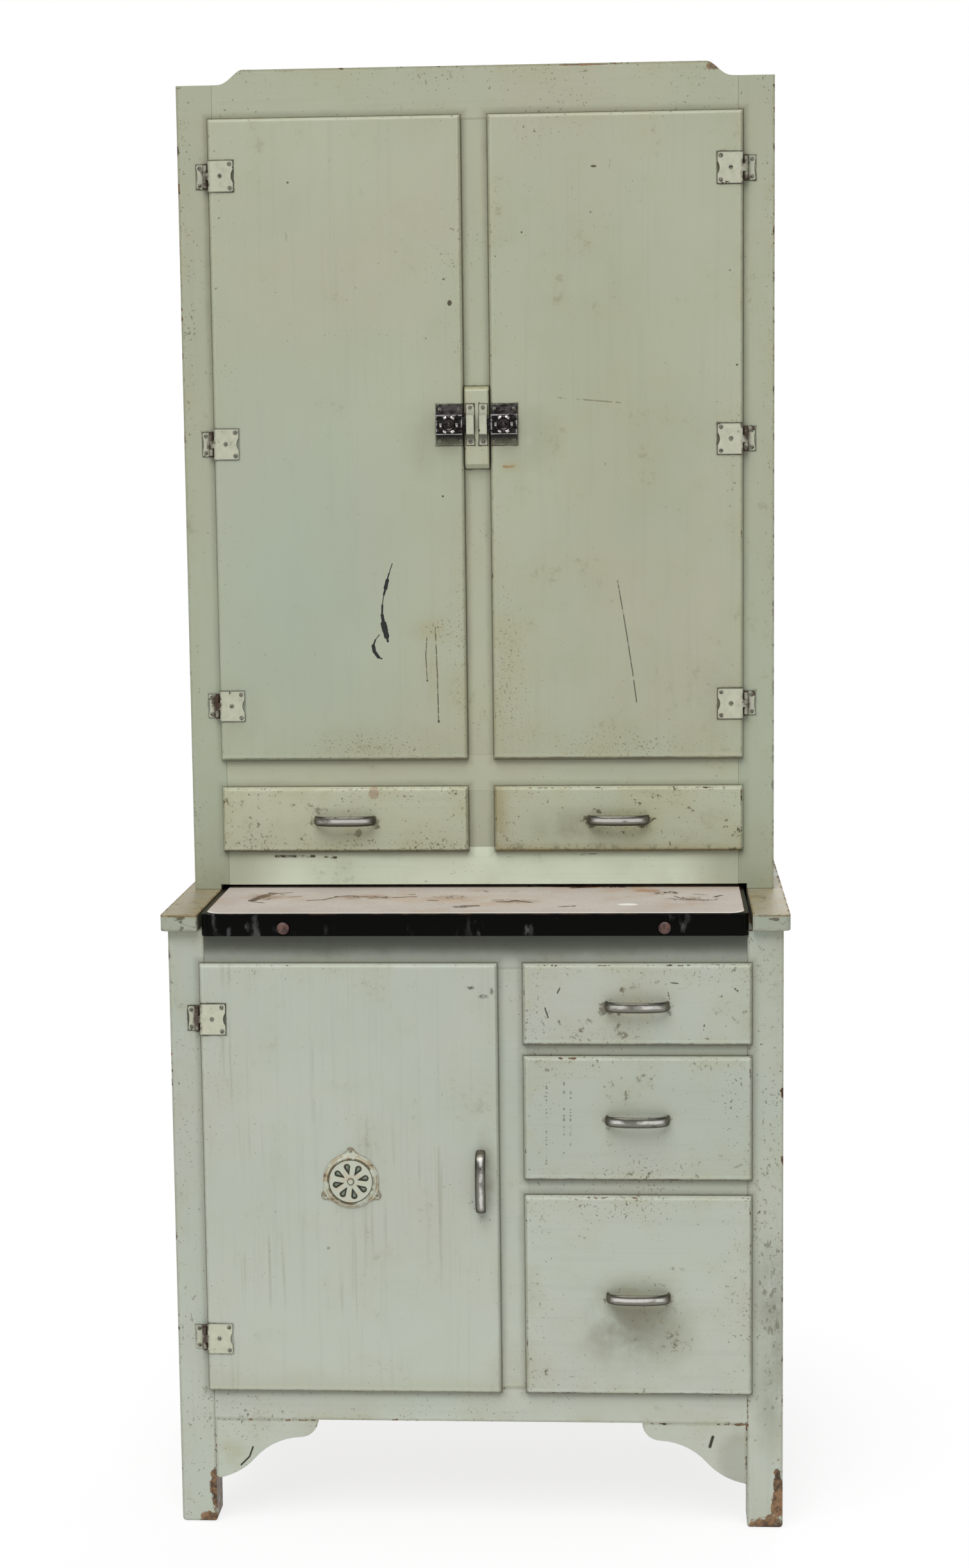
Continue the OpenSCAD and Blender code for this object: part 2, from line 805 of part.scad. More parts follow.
module frame_leaf() {
    knuckle_z = mid_knuckle_h / 2 + slide_gap;
    difference() {
        union() {
            upright(hinge_t) frame_leaf_outline();
            for (side = [-1, 1]) scale([1, 1, side]) {
                translate([-axis_out, -axis_up, knuckle_z])
                    cylinder(r = knuckle_r, h = barrel_h / 2 - knuckle_z);
                box([-axis_out - knuckle_r - over, -axis_up + knuckle_r - over, knuckle_z],
                    [-axis_out, 0, barrel_h / 2]);
            }
        }
        pin_bore();
    }
}

module hinge_pin() {
    head_h = 2;
    translate([-axis_out, -axis_up, 0]) {
        cylinder(r = pin_r, h = barrel_h + 2 * head_h, center = true);
        for (side = [-1, 1]) scale([1, 1, side]) translate([0, 0, barrel_h / 2 + glue])
            cylinder(r = pin_r + 1, h = head_h);
    }
}

// Children at each hinge of the right upper door, the left one and the lower one
module at_upper_right_hinges() {
    for (z = upper_hinges) translate([upper_in + lip, upper_y, z]) mirror([1, 0, 0]) children();
}

module at_upper_left_hinges() {
    for (z = upper_hinges) translate([-upper_in - lip, upper_y, z]) children();
}

module at_lower_hinges() {
    for (z = lower_hinges) translate([-base_in - lip, base_y, z]) children();
}

module upper_left_hinge_leaves() {
    color(bark) at_upper_left_hinges() door_leaf();
}

module upper_right_hinge_leaves() {
    color(bark) at_upper_right_hinges() door_leaf();
}

module lower_hinge_leaves() {
    color(pale) at_lower_hinges() door_leaf();
}

module hinge_frame_leaves() {
    color(bark) {
        at_upper_left_hinges() frame_leaf();
        at_upper_right_hinges() frame_leaf();
        at_lower_hinges() frame_leaf();
    }
}

module hinge_pins() {
    color(metal) {
        at_upper_left_hinges() hinge_pin();
        at_upper_right_hinges() hinge_pin();
        at_lower_hinges() hinge_pin();
    }
}

// ---- Latches: drawn for the left door, centred on the latch, y = 0 on the face of the door ----

screw_r = 1.6;
screw_edge = 4.5;
case_clear = 0.4;

module latch_case() {
    screw_x = latch_w / 2 - screw_edge;
    screw_z = (latch_h + case_h) / 4;
    difference() {
        union() {
            box([-latch_w / 2, -latch_t, -latch_h / 2], [latch_w / 2, 0, latch_h / 2]);
            box([-latch_w / 2, -case_out, -case_h / 2], [latch_w / 2, 0, case_h / 2]);
        }
        box([-cavity_x, latch_t - case_out, -bolt_z - case_clear],
            [latch_w / 2 + over, over, bolt_z + case_clear]);
        rotate([90, 0, 0]) cylinder(r = spindle_r + pin_clear, h = case_out + over);
        for (x = [-screw_x, screw_x], z = [-screw_z, screw_z])
            translate([x, over, z]) rotate([90, 0, 0]) cylinder(r = screw_r, h = latch_t + 2 * over);
    }
}

// Knob with a dished face, its spindle, and the cam that moves the bolt
cam_r = 7.7;
cam_w = 3.2;
cam_stem_r = 3;
window_z = 5.2;
module latch_knob() {
    r = latch_knob_r;
    top = case_out + latch_knob_out;
    inner = case_clear;
    rotate([90, 0, 0]) rotate_extrude() polygon([[0, inner], [cam_stem_r, inner],
        [cam_stem_r, case_out - latch_t - case_clear], [spindle_r, case_out - latch_t - case_clear],
        [spindle_r, case_out + case_clear], [spindle_r + 1.5, case_out + case_clear],
        [spindle_r + 2.5, case_out + 2], [r - 2, case_out + 3], [r, case_out + 4.5], [r, top - 2.5],
        [r - 2.6, top], [r - 3.4, top - 0.4], [r - 5, top - 2.2], [2.6, top - 2.8], [2.2, top - 1.6],
        [0, top - 1.4]]);
    box([-cam_w / 2, latch_t + case_clear - case_out, 0], [cam_w / 2, -case_clear, cam_r]);
}

// Distance of the tongue's back from the strike block's face
tongue_gap = 1.3;
module latch_bolt() {
    tail = -cavity_x + bolt_draw + case_clear;
    tongue_x = latch_w / 2 - over;
    tongue_back = block_t - proud + tongue_gap;
    notch_x = cam_w / 2 + latch_t;
    front = latch_t + case_clear - case_out;
    difference() {
        union() {
            box([tail, front, -bolt_z], [tongue_x, -case_clear, bolt_z]);
            box([tongue_x - over, front, -bolt_z], [bolt_end, -tongue_back, bolt_z]);
        }
        box([-cam_stem_r - bolt_throw - case_clear, -case_out, -window_z],
            [cam_stem_r + bolt_draw + case_clear, over, window_z]);
        box([-notch_x, -case_out, 0], [notch_x, over, cam_r + case_clear * 2]);
    }
}

module at_left_latch() {
    translate([-latch_x, upper_y - proud, latch_z]) children();
}

module at_right_latch() {
    mirror([1, 0, 0]) at_left_latch() children();
}

module left_latch_case() {
    color(metal) at_left_latch() latch_case();
}

module right_latch_case() {
    color(metal) at_right_latch() latch_case();
}

module left_latch_knob() {
    color(metal) at_left_latch() latch_knob();
}

module right_latch_knob() {
    color(metal) at_right_latch() latch_knob();
}

module left_latch_bolt() {
    color(metal) at_left_latch() latch_bolt();
}

module right_latch_bolt() {
    color(metal) at_right_latch() latch_bolt();
}

// Bevelled block between the doors
block_drop = 4;
end_bevel = 6;
side_bevel = 1.5;
module strike_block() {
    h = block_h / 2;
    w = block_w / 2;
    color(bark) translate([0, upper_y, latch_z - block_drop]) intersection() {
        sideways(block_w) polygon([[0, -h], [0, h], [-block_t / 3, h], [-block_t, h - end_bevel],
            [-block_t, end_bevel - h], [-block_t / 3, -h]]);
        linear_extrude(block_h + over, center = true) polygon([[w, 0], [-w, 0], [-w, side_bevel - block_t],
            [side_bevel - w, -block_t], [w - side_bevel, -block_t], [w, side_bevel - block_t]]);
    }
}

// Strip with a raised box that the bolt is thrown into
module strikes() {
    x1 = strike_x + strike_w;
    front = case_out + proud - latch_t - case_clear;
    pocket_t = front - block_t + case_clear;
    color(bark) both_sides() translate([0, upper_y - block_t, latch_z]) difference() {
        union() {
            box([strike_x, -latch_t + case_clear, -latch_h / 2], [x1, 0, latch_h / 2]);
            box([strike_x, -strike_out, -strike_box_h / 2], [x1, 0, strike_box_h / 2]);
        }
        box([x1 - bolt_throw - over, -pocket_t, -bolt_z - case_clear],
            [x1 + over, case_clear - tongue_gap, bolt_z + case_clear]);
        for (z = [screw_edge - latch_h / 2, latch_h / 2 - screw_edge])
            translate([strike_x + strike_w / 2, over, z]) rotate([90, 0, 0])
                cylinder(r = screw_r, h = 2 * over + latch_t);
    }
}

// ---- Vent: centred on the lower door, y = 0 on its face ----

plate_t = 1;
floor_out = 2.4;
shutter_t = 1.6;
rim_out = 4.6;
ear_r = 5.5;
ear_x = vent_r + 2.6;
ear_turns = [90, 210, 330];

// Teardrop with its point towards the middle
module teardrop() {
    turn = acos(slot_r / (slot_out - slot_in));
    polygon(concat([[0, slot_in]], arc(0, slot_out, slot_r, -90 + turn, 270 - turn, 12)));
}

module slots(turn) {
    for (i = [0:vent_slots - 1]) rotate(i * 360 / vent_slots + turn) teardrop();
}

// Dished plate with three ears, and the rivet that holds the shutter
module vent_plate() {
    rim_r = shutter_r + 1;
    head_z = floor_out + shutter_t + 2 * slide_gap;
    color("#b9b09c") translate([lower_door_x, base_y - proud, lower_door_z]) rotate([90, 0, 0]) {
        difference() {
            union() {
                rotate_extrude() polygon([[0, 0], [vent_r, 0], [vent_r, plate_t], [rim_r + 1.5, rim_out],
                    [rim_r, rim_out], [rim_r, floor_out], [0, floor_out]]);
                for (a = ear_turns) rotate(a) {
                    translate([ear_x, 0, 0]) cylinder(r = ear_r, h = plate_t);
                    translate([ear_x - 2 * ear_r, -ear_r * 0.9, 0]) cube([2 * ear_r, ear_r * 1.8, plate_t]);
                }
            }
            translate([0, 0, -over]) linear_extrude(rim_out + 2 * over)
                slots(180 / vent_slots + shutter_turn);
            // Hollow back of the pressed plate, over the hole in the door
            translate([0, 0, -over]) cylinder(r = vent_hole_r - over, h = over + floor_out - plate_t);
            for (a = ear_turns) rotate(a) translate([ear_x, 0, -over])
                cylinder(r = screw_r, h = plate_t + 2 * over);
        }
        cylinder(r = rivet_r, h = head_z + over);
        translate([0, 0, head_z]) cylinder(r1 = rivet_r + 2.7, r2 = rivet_r + 1.2, h = 1.6);
    }
}

module vent_shutter() {
    color("#c9c7bb") translate([lower_door_x, base_y - proud, lower_door_z]) rotate([90, 0, 0])
        translate([0, 0, floor_out + slide_gap]) linear_extrude(shutter_t) difference() {
            circle(r = shutter_r);
            circle(r = rivet_r + pin_clear);
            slots(shutter_turn);
        }
}

// ---- Pulls: a bow of oval section, swept along a superellipse ----

bow_power = 0.72;
pull_sides = 12;
pull_rings = 22;
foot_swell = 0.85;

// Place, direction of the outer side, and half width at a ring of the bow
function bow(i) = let (t = 180 * i / pull_rings)
    [pull_l / 2 * sign(cos(t)) * pow(abs(cos(t)), bow_power),
    -(pull_out - pull_t / 2) * pow(sin(t), bow_power)];
function bow_turn(i) = i == 0 ? 0 : i == pull_rings ? 180 :
    let (d = bow(i + 1) - bow(i - 1)) atan2(d[0], -d[1]);
function bow_half(i) = pull_w / 2 * (1 + (foot_swell - 1) * pow(1 - sin(180 * i / pull_rings), 4));

module pull() {
    rings = [for (i = [0:pull_rings]) let (p = bow(i), a = bow_turn(i), w = bow_half(i))
        [for (j = [0:pull_sides - 1]) let (b = 360 * j / pull_sides, n = pull_t / 2 * cos(b))
            [p[0] + n * cos(a), p[1] + n * sin(a), w * sin(b)]]];
    points = [for (ring = rings, p = ring) p];
    n = pull_sides;
    last = pull_rings * n;
    starts = [for (i = [0:pull_rings - 1], j = [0:n - 1]) [i * n + j, i * n + (j + 1) % n]];
    faces = concat([[for (j = [0:n - 1]) j]], [[for (j = [n - 1:-1:0]) last + j]],
        [for (s = starts) [s[0], s[0] + n, s[1]]], [for (s = starts) [s[1], s[0] + n, s[1] + n]]);
    polyhedron(points, faces);
}

module level_pull(x, y, z) {
    color(metal) translate([x, y - proud, z]) pull();
}

module lower_door_pull() {
    color(metal) translate([cupboard_x + lip - door_pull_x, base_y - proud, lower_door_z])
        rotate([0, 90, 0]) pull();
}

module upper_left_pull() {
    level_pull(-upper_drawer_x, upper_y, (upper_open_z + mid_rail_z) / 2);
}

module upper_right_pull() {
    level_pull(upper_drawer_x, upper_y, (upper_open_z + mid_rail_z) / 2);
}

module top_drawer_pull() {
    level_pull(lower_drawers_x, base_y, top_open_z + top_drawer_h / 2);
}

module middle_drawer_pull() {
    level_pull(lower_drawers_x, base_y, middle_open_z + middle_drawer_h / 2);
}

module bottom_drawer_pull() {
    level_pull(lower_drawers_x, base_y, base_open_z + bottom_drawer_h / 2);
}

corner_posts();
base_top_rail();
base_divider();
drawer_rails();
base_bottom_rail();
corner_brackets();
base_sides();
base_back();
base_floor();
base_partition();
base_shelf();
drawer_runners();
worktop_ends();
worktop_bearers();
upper_sides();
upper_roof();
upper_floor();
upper_dust_board();
upper_back();
upper_stiles();
crest_rail();
centre_stiles();
upper_middle_rail();
upper_bottom_rail();
upper_shelves();
upper_drawer_guides();
hinge_frame_leaves();
hinge_pins();
strike_block();
strikes();
bullet_catch();
enamel_sheet();
sheet_core();
pull_buttons();
upper_left_door();
upper_right_door();
lower_door();
upper_left_hinge_leaves();
upper_right_hinge_leaves();
lower_hinge_leaves();
left_latch_case();
right_latch_case();
left_latch_knob();
right_latch_knob();
left_latch_bolt();
right_latch_bolt();
vent_plate();
vent_shutter();
lower_door_pull();
upper_left_drawer();
upper_right_drawer();
top_drawer();
middle_drawer();
bottom_drawer();
upper_left_pull();
upper_right_pull();
top_drawer_pull();
middle_drawer_pull();
bottom_drawer_pull();
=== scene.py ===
"""Two-part painted kitchen cabinet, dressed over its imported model.

Each operator makes one group of pieces: a merged and softened copy of the board or fitting
that it stands for, or a finer shape in its place, with a worn paint, wood or metal finish.
"""
import functools
import json
import math

import bmesh
import bpy
from bpy.props import FloatProperty, FloatVectorProperty, IntProperty, PointerProperty
from mathutils import Matrix, Vector

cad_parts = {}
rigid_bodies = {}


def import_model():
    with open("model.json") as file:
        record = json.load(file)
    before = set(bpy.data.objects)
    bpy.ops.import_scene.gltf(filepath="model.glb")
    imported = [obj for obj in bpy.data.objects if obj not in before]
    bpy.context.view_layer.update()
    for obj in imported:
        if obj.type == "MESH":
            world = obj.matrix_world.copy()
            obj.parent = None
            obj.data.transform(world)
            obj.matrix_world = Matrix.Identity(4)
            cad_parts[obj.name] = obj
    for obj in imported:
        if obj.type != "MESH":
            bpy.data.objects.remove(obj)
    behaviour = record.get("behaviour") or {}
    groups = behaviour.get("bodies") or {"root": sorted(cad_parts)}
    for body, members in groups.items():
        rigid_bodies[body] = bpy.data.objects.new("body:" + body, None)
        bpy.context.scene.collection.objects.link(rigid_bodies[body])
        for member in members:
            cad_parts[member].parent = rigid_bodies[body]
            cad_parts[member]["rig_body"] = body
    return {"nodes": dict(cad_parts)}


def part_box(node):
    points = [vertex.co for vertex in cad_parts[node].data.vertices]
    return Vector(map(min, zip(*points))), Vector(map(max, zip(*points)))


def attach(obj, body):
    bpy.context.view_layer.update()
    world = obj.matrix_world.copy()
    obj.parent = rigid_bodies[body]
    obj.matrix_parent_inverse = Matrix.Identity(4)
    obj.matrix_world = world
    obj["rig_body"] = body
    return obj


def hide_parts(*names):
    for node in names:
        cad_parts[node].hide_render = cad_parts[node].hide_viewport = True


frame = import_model()

bl_info = {
    "name": "Painted kitchen cabinet",
    "version": (1, 0, 0),
    "blender": (4, 5, 0),
    "location": "3D Viewport > Sidebar > Cabinet",
    "description": "Dresses the packed cabinet with worn paint, enamel, wood and metal",
    "category": "Object",
}


def srgb(red, green, blue):
    """Linear colour of an 8-bit one."""
    def linear(value):
        value /= 255
        return value / 12.92 if value <= 0.04045 else ((value + 0.055) / 1.055) ** 2.4
    return tuple(linear(value) for value in (red, green, blue))


def shade(colour, factor):
    return tuple(min(1.0, part * factor) for part in colour)


# ---- Sizes and colours that a user would change ----

def tint(name, description, red, green, blue):
    return FloatVectorProperty(name=name, description=description, default=srgb(red, green, blue),
                               size=3, min=0, max=1, subtype="COLOR")


def share(name, description, default):
    return FloatProperty(name=name, description=description, default=default, min=0, max=1,
                         subtype="FACTOR")


def length(name, description, default, high):
    return FloatProperty(name=name, description=description, default=default, min=0, max=high,
                         subtype="DISTANCE", unit="LENGTH", precision=4)


class CabinetPaint(bpy.types.PropertyGroup):
    upper: tint("Upper paint", "Sage green of the upper cabinet", 170, 174, 151)
    lower: tint("Lower paint", "Cooler sage green of the base", 172, 179, 166)
    fitting: tint("Painted metal", "Paint on the hinges and strikes", 188, 190, 168)
    wood: tint("Bare wood", "Wood under the paint and inside", 148, 114, 80)
    # Grime is also the colour of the painted shade round the doors and fittings and under the lips
    grime: tint("Grime", "Brown grime along edges and round handles", 103, 93, 63)
    yellow: tint("Yellowing", "Yellowed old paint", 160, 154, 114)
    chips: share("Chips", "Paint lost along the edges", 0.5)
    bevel: length("Edge softening", "Round on the free edges of the boards", 0.001, 0.004)
    joint: length("Joint softening", "Round on boards that are joined flush", 0.0003, 0.002)


class CabinetTop(bpy.types.PropertyGroup):
    enamel: tint("Enamel", "Off-white enamel of the sliding top", 190, 180, 172)
    band: tint("Band", "Black enamel of the rim", 9, 9, 8)
    band_w: length("Band width", "Width of the black band at the sides", 0.006, 0.02)
    band_r: length("Band corner", "Radius of the white field's front corners", 0.022, 0.06)


class CabinetMetal(bpy.types.PropertyGroup):
    nickel: tint("Pulls", "Worn nickel of the pulls", 129, 128, 118)
    chrome: tint("Latches", "Tarnished chrome of the latches", 150, 144, 142)
    rust: tint("Rust", "Brown rust and old dirt on metal", 82, 56, 38)
    screw_r: length("Screw head radius", "Radius of the screw heads", 0.0027, 0.005)
    screw_h: length("Screw head height", "Height of the domed screw heads", 0.0011, 0.003)
    slot_w: length("Screw slot width", "Width of the slots in the screw heads", 0.0008, 0.002)
    facets: IntProperty(name="Knob scallops", description="Finger hollows round a latch knob",
                        default=6, min=3, max=12)


class CabinetStage(bpy.types.PropertyGroup):
    floor: tint("Floor", "Pale floor", 236, 236, 236)
    top_light: FloatProperty(name="Top light", description="Strength of the wide, soft light from above",
                             default=2.6, min=0)
    top_angle: FloatProperty(name="Top light height", description="Angle of the soft light above the floor",
                             default=math.radians(58), subtype="ANGLE", unit="ROTATION")
    softness: FloatProperty(name="Softness", description="Apparent width of the soft light",
                            default=math.radians(48), subtype="ANGLE", unit="ROTATION")
    back_light: FloatProperty(name="Back light", description="Strength of the soft light from behind",
                              default=1.5, min=0)
    sky: share("Surrounding light", "Strength of the even light from all round", 0.34)
    focal: FloatProperty(name="Focal length", description="Focal length of the camera",
                         default=62.34, min=20, max=200, unit="CAMERA")


GROUPS = {"cabinet_paint": CabinetPaint, "cabinet_top": CabinetTop, "cabinet_metal": CabinetMetal,
          "cabinet_stage": CabinetStage}


# ---- Finishes ----

class Field:
    """A node socket that is worked with like a number."""

    def __init__(self, nodes, socket):
        self.nodes = nodes
        self.socket = socket

    def beside(self):
        """Every output of the node that this socket belongs to."""
        return [Field(self.nodes, socket) for socket in self.socket.node.outputs]

    def __add__(self, other):
        return self.nodes.maths("ADD", self, other)

    def __sub__(self, other):
        return self.nodes.maths("SUBTRACT", self, other)

    def __rsub__(self, other):
        return self.nodes.maths("SUBTRACT", other, self)

    def __mul__(self, other):
        return self.nodes.maths("MULTIPLY", self, other)

    def __truediv__(self, other):
        return self.nodes.maths("DIVIDE", self, other)

    def __abs__(self):
        return self.nodes.maths("ABSOLUTE", self)

    def least(self, other):
        return self.nodes.maths("MINIMUM", self, other)

    def most(self, other):
        return self.nodes.maths("MAXIMUM", self, other)

    def between(self, low, high):
        """0 at low, 1 at high, and smooth between them; low may be the larger."""
        return self.nodes.node("ShaderNodeMapRange", {"interpolation_type": "SMOOTHSTEP"},
                               {"Value": self, "From Min": low, "From Max": high})


def greatest(fields):
    return functools.reduce(Field.most, fields)


class Nodes:
    """A node tree and the calls that fill it."""

    def __init__(self, tree):
        self.tree = tree
        tree.nodes.clear()

    def node(self, kind, options=None, values=None, out=0):
        """A node of a type, with its options, and the values or links of its sockets."""
        made = self.tree.nodes.new(kind)
        for name, value in (options or {}).items():
            setattr(made, name, value)
        for name, value in (values or {}).items():
            if isinstance(value, Field):
                self.tree.links.new(value.socket, made.inputs[name])
            else:
                if made.inputs[name].type == "RGBA":
                    value = (*value[:3], 1.0)
                made.inputs[name].default_value = value
        return Field(self, made.outputs[out]) if made.outputs else made

    def maths(self, operation, *values):
        return self.node("ShaderNodeMath", {"operation": operation}, dict(enumerate(values)))

    def xyz(self, x=0.0, y=0.0, z=0.0):
        return self.node("ShaderNodeCombineXYZ", values={0: x, 1: y, 2: z})

    def seen_by(self, *rays):
        """1 for the kinds of ray that are named."""
        return greatest([self.node("ShaderNodeLightPath", out=f"Is {ray} Ray") for ray in rays])


class Finish(Nodes):
    """A material, with the places and patterns that its colours are made from.

    Places and distances are in metres, and amounts run from 0 to 1.
    """

    def __init__(self, name):
        self.material = bpy.data.materials.new(name)
        self.material.use_nodes = True
        super().__init__(self.material.node_tree)
        self.colour = None
        self.place = self.node("ShaderNodeTexCoord", out="Object")
        self.x, self.y, self.z = self.parts(self.place)

    def vector(self, operation, *values, out=0):
        return self.node("ShaderNodeVectorMath", {"operation": operation},
                         dict(enumerate(values)), out)

    def length(self, vector):
        return self.vector("LENGTH", vector, out="Value")

    def parts(self, vector):
        return self.node("ShaderNodeSeparateXYZ", values={0: vector}).beside()

    def within(self):
        """X, Y and Z from the middle of the board or fitting that the surface belongs to."""
        return self.parts(self.vector("SUBTRACT", self.place, self.attribute("middle")))

    def attribute(self, name, out="Vector"):
        return self.node("ShaderNodeAttribute", {"attribute_name": name}, out=out)

    def noise(self, scale, detail, vector=None, rough=0.55, warp=0.0):
        return self.node("ShaderNodeTexNoise", {"noise_dimensions": "3D"}, {
            "Vector": vector or self.place, "Scale": scale, "Detail": detail,
            "Roughness": rough, "Distortion": warp})

    def stretched(self, x, y, z):
        return self.vector("MULTIPLY", self.place, (x, y, z))

    def mix(self, amount, first, second):
        return self.node("ShaderNodeMix", {"data_type": "RGBA"}, {0: amount, 6: first, 7: second}, out=2)

    def lay(self, amount, tone):
        """Covers the colour so far with a tone."""
        self.colour = self.mix(amount, self.colour, tone)

    def edge(self, joined=(0, 0, 0)):
        """Distance from the nearest edge of the board that the surface belongs to.

        joined is 1 for each direction in which the board ends against others.
        """
        away = self.vector("ABSOLUTE", self.vector("SUBTRACT", self.place, self.attribute("middle")))
        size = self.vector("ADD", self.attribute("half"), joined)
        x, y, z = self.parts(self.vector("SUBTRACT", size, away))
        return x.least(y).most(x.most(y).least(z))

    def face(self):
        """1 on the front face of the board that the surface belongs to, and its rounded edges."""
        front = self.vector("SUBTRACT", self.attribute("middle"), self.attribute("half"))
        return (self.y - self.parts(front)[1]).between(0.008, 0.006)

    def before(self, y):
        """1 in front of a place 35 to 40 mm behind y, so that marks stay off the backs of boards."""
        return self.y.between(y + 0.04, y + 0.035)

    def slope(self):
        """0 where the surface faces the front or back, 1 on its sides."""
        return 1 - abs(self.parts(self.node("ShaderNodeTexCoord", out="Normal"))[1])

    def flat_place(self):
        return self.xyz(self.x, 0.0, self.z)

    def top_place(self, scale, reach):
        """The place on a level surface, shaken a little, with its Y given as Z."""
        x, y, _ = self.parts(self.ragged(scale, reach))
        return self.xyz(x, 0.0, y)

    def stroke(self, points, width, waver=None):
        """1 along a line of points in X and Z, in metres, and 0 away from it."""
        spot = waver or self.flat_place()
        near = None
        for (x0, z0), (x1, z1) in zip(points, points[1:]):
            run = Vector((x1 - x0, 0, z1 - z0))
            start = self.vector("SUBTRACT", spot, (x0, 0.0, z0))
            along = self.vector("DOT_PRODUCT", start, tuple(run / run.length_squared), out="Value")
            along = along.most(0.0).least(1.0)
            foot = self.node("ShaderNodeVectorMath", {"operation": "SCALE"},
                             {0: tuple(run), "Scale": along})
            far = self.vector("DISTANCE", start, foot, out="Value")
            near = far if near is None else near.least(far)
        return near.between(width * 0.9, width * 0.3)

    def blot(self, x, z, radius, high=None):
        """A soft round or oval patch in X and Z."""
        spot = self.vector("SUBTRACT", self.flat_place(), (x, 0.0, z))
        spot = self.vector("MULTIPLY", spot, (1 / radius, 0.0, 1 / (high or radius)))
        return self.length(spot).between(1.0, 0.0)

    def blots(self, *places):
        """Several blots; each place is X, Z, radius and, where it is oval, its height."""
        return greatest([self.blot(*place) for place in places])

    def strokes(self, *lines, waver=None):
        """Several strokes; each line is its points and its width."""
        return greatest([self.stroke(points, width, waver=waver) for points, width in lines])

    def outline(self, low, high):
        """Distance outside a rectangle in X and Z."""
        x = abs(self.x - (low[0] + high[0]) / 2) - (high[0] - low[0]) / 2
        z = abs(self.z - (low[2] + high[2]) / 2) - (high[2] - low[2]) / 2
        return x.most(z)

    def ragged(self, scale, reach):
        """The place, shaken a little so that outlines come out uneven."""
        shake = self.node("ShaderNodeTexNoise", {"noise_dimensions": "3D"}, {
            "Vector": self.place, "Scale": scale, "Detail": 2.0}, out="Color")
        shake = self.vector("SUBTRACT", shake, (0.5, 0.5, 0.5))
        shake = self.vector("MULTIPLY", shake, (reach, reach, reach))
        return self.vector("ADD", self.place, shake)

    def specks(self, scale, share_of, size, vector=None):
        """Small spots, one in some of the cells of a loose pattern."""
        cells = {"Vector": vector or self.ragged(9000 / scale, 0.1 / scale), "Scale": scale}
        far = self.node("ShaderNodeTexVoronoi", values=cells, out="Distance")
        lot, _, _ = self.parts(self.node("ShaderNodeTexVoronoi", values=cells, out="Color"))
        radius = lot.between(1 - share_of, 1.0) * size
        return (radius - far).between(0.0, 0.05)

    def finish(self, roughness, bump, depth, metallic=0.0, specular=0.5):
        """The material, with its surface set from these and raised by bump times depth, in metres."""
        normal = self.node("ShaderNodeBump", values={"Strength": 1.0, "Distance": depth, "Height": bump})
        shader = self.node("ShaderNodeBsdfPrincipled", values={
            "Base Color": self.colour, "Roughness": roughness, "Metallic": metallic,
            "Specular IOR Level": specular, "Normal": normal})
        self.node("ShaderNodeOutputMaterial", values={"Surface": shader})
        return self.material


def settings(name):
    return getattr(bpy.context.scene, name)


def dirt_tones():
    paint = settings("cabinet_paint")
    return paint.grime, paint.yellow


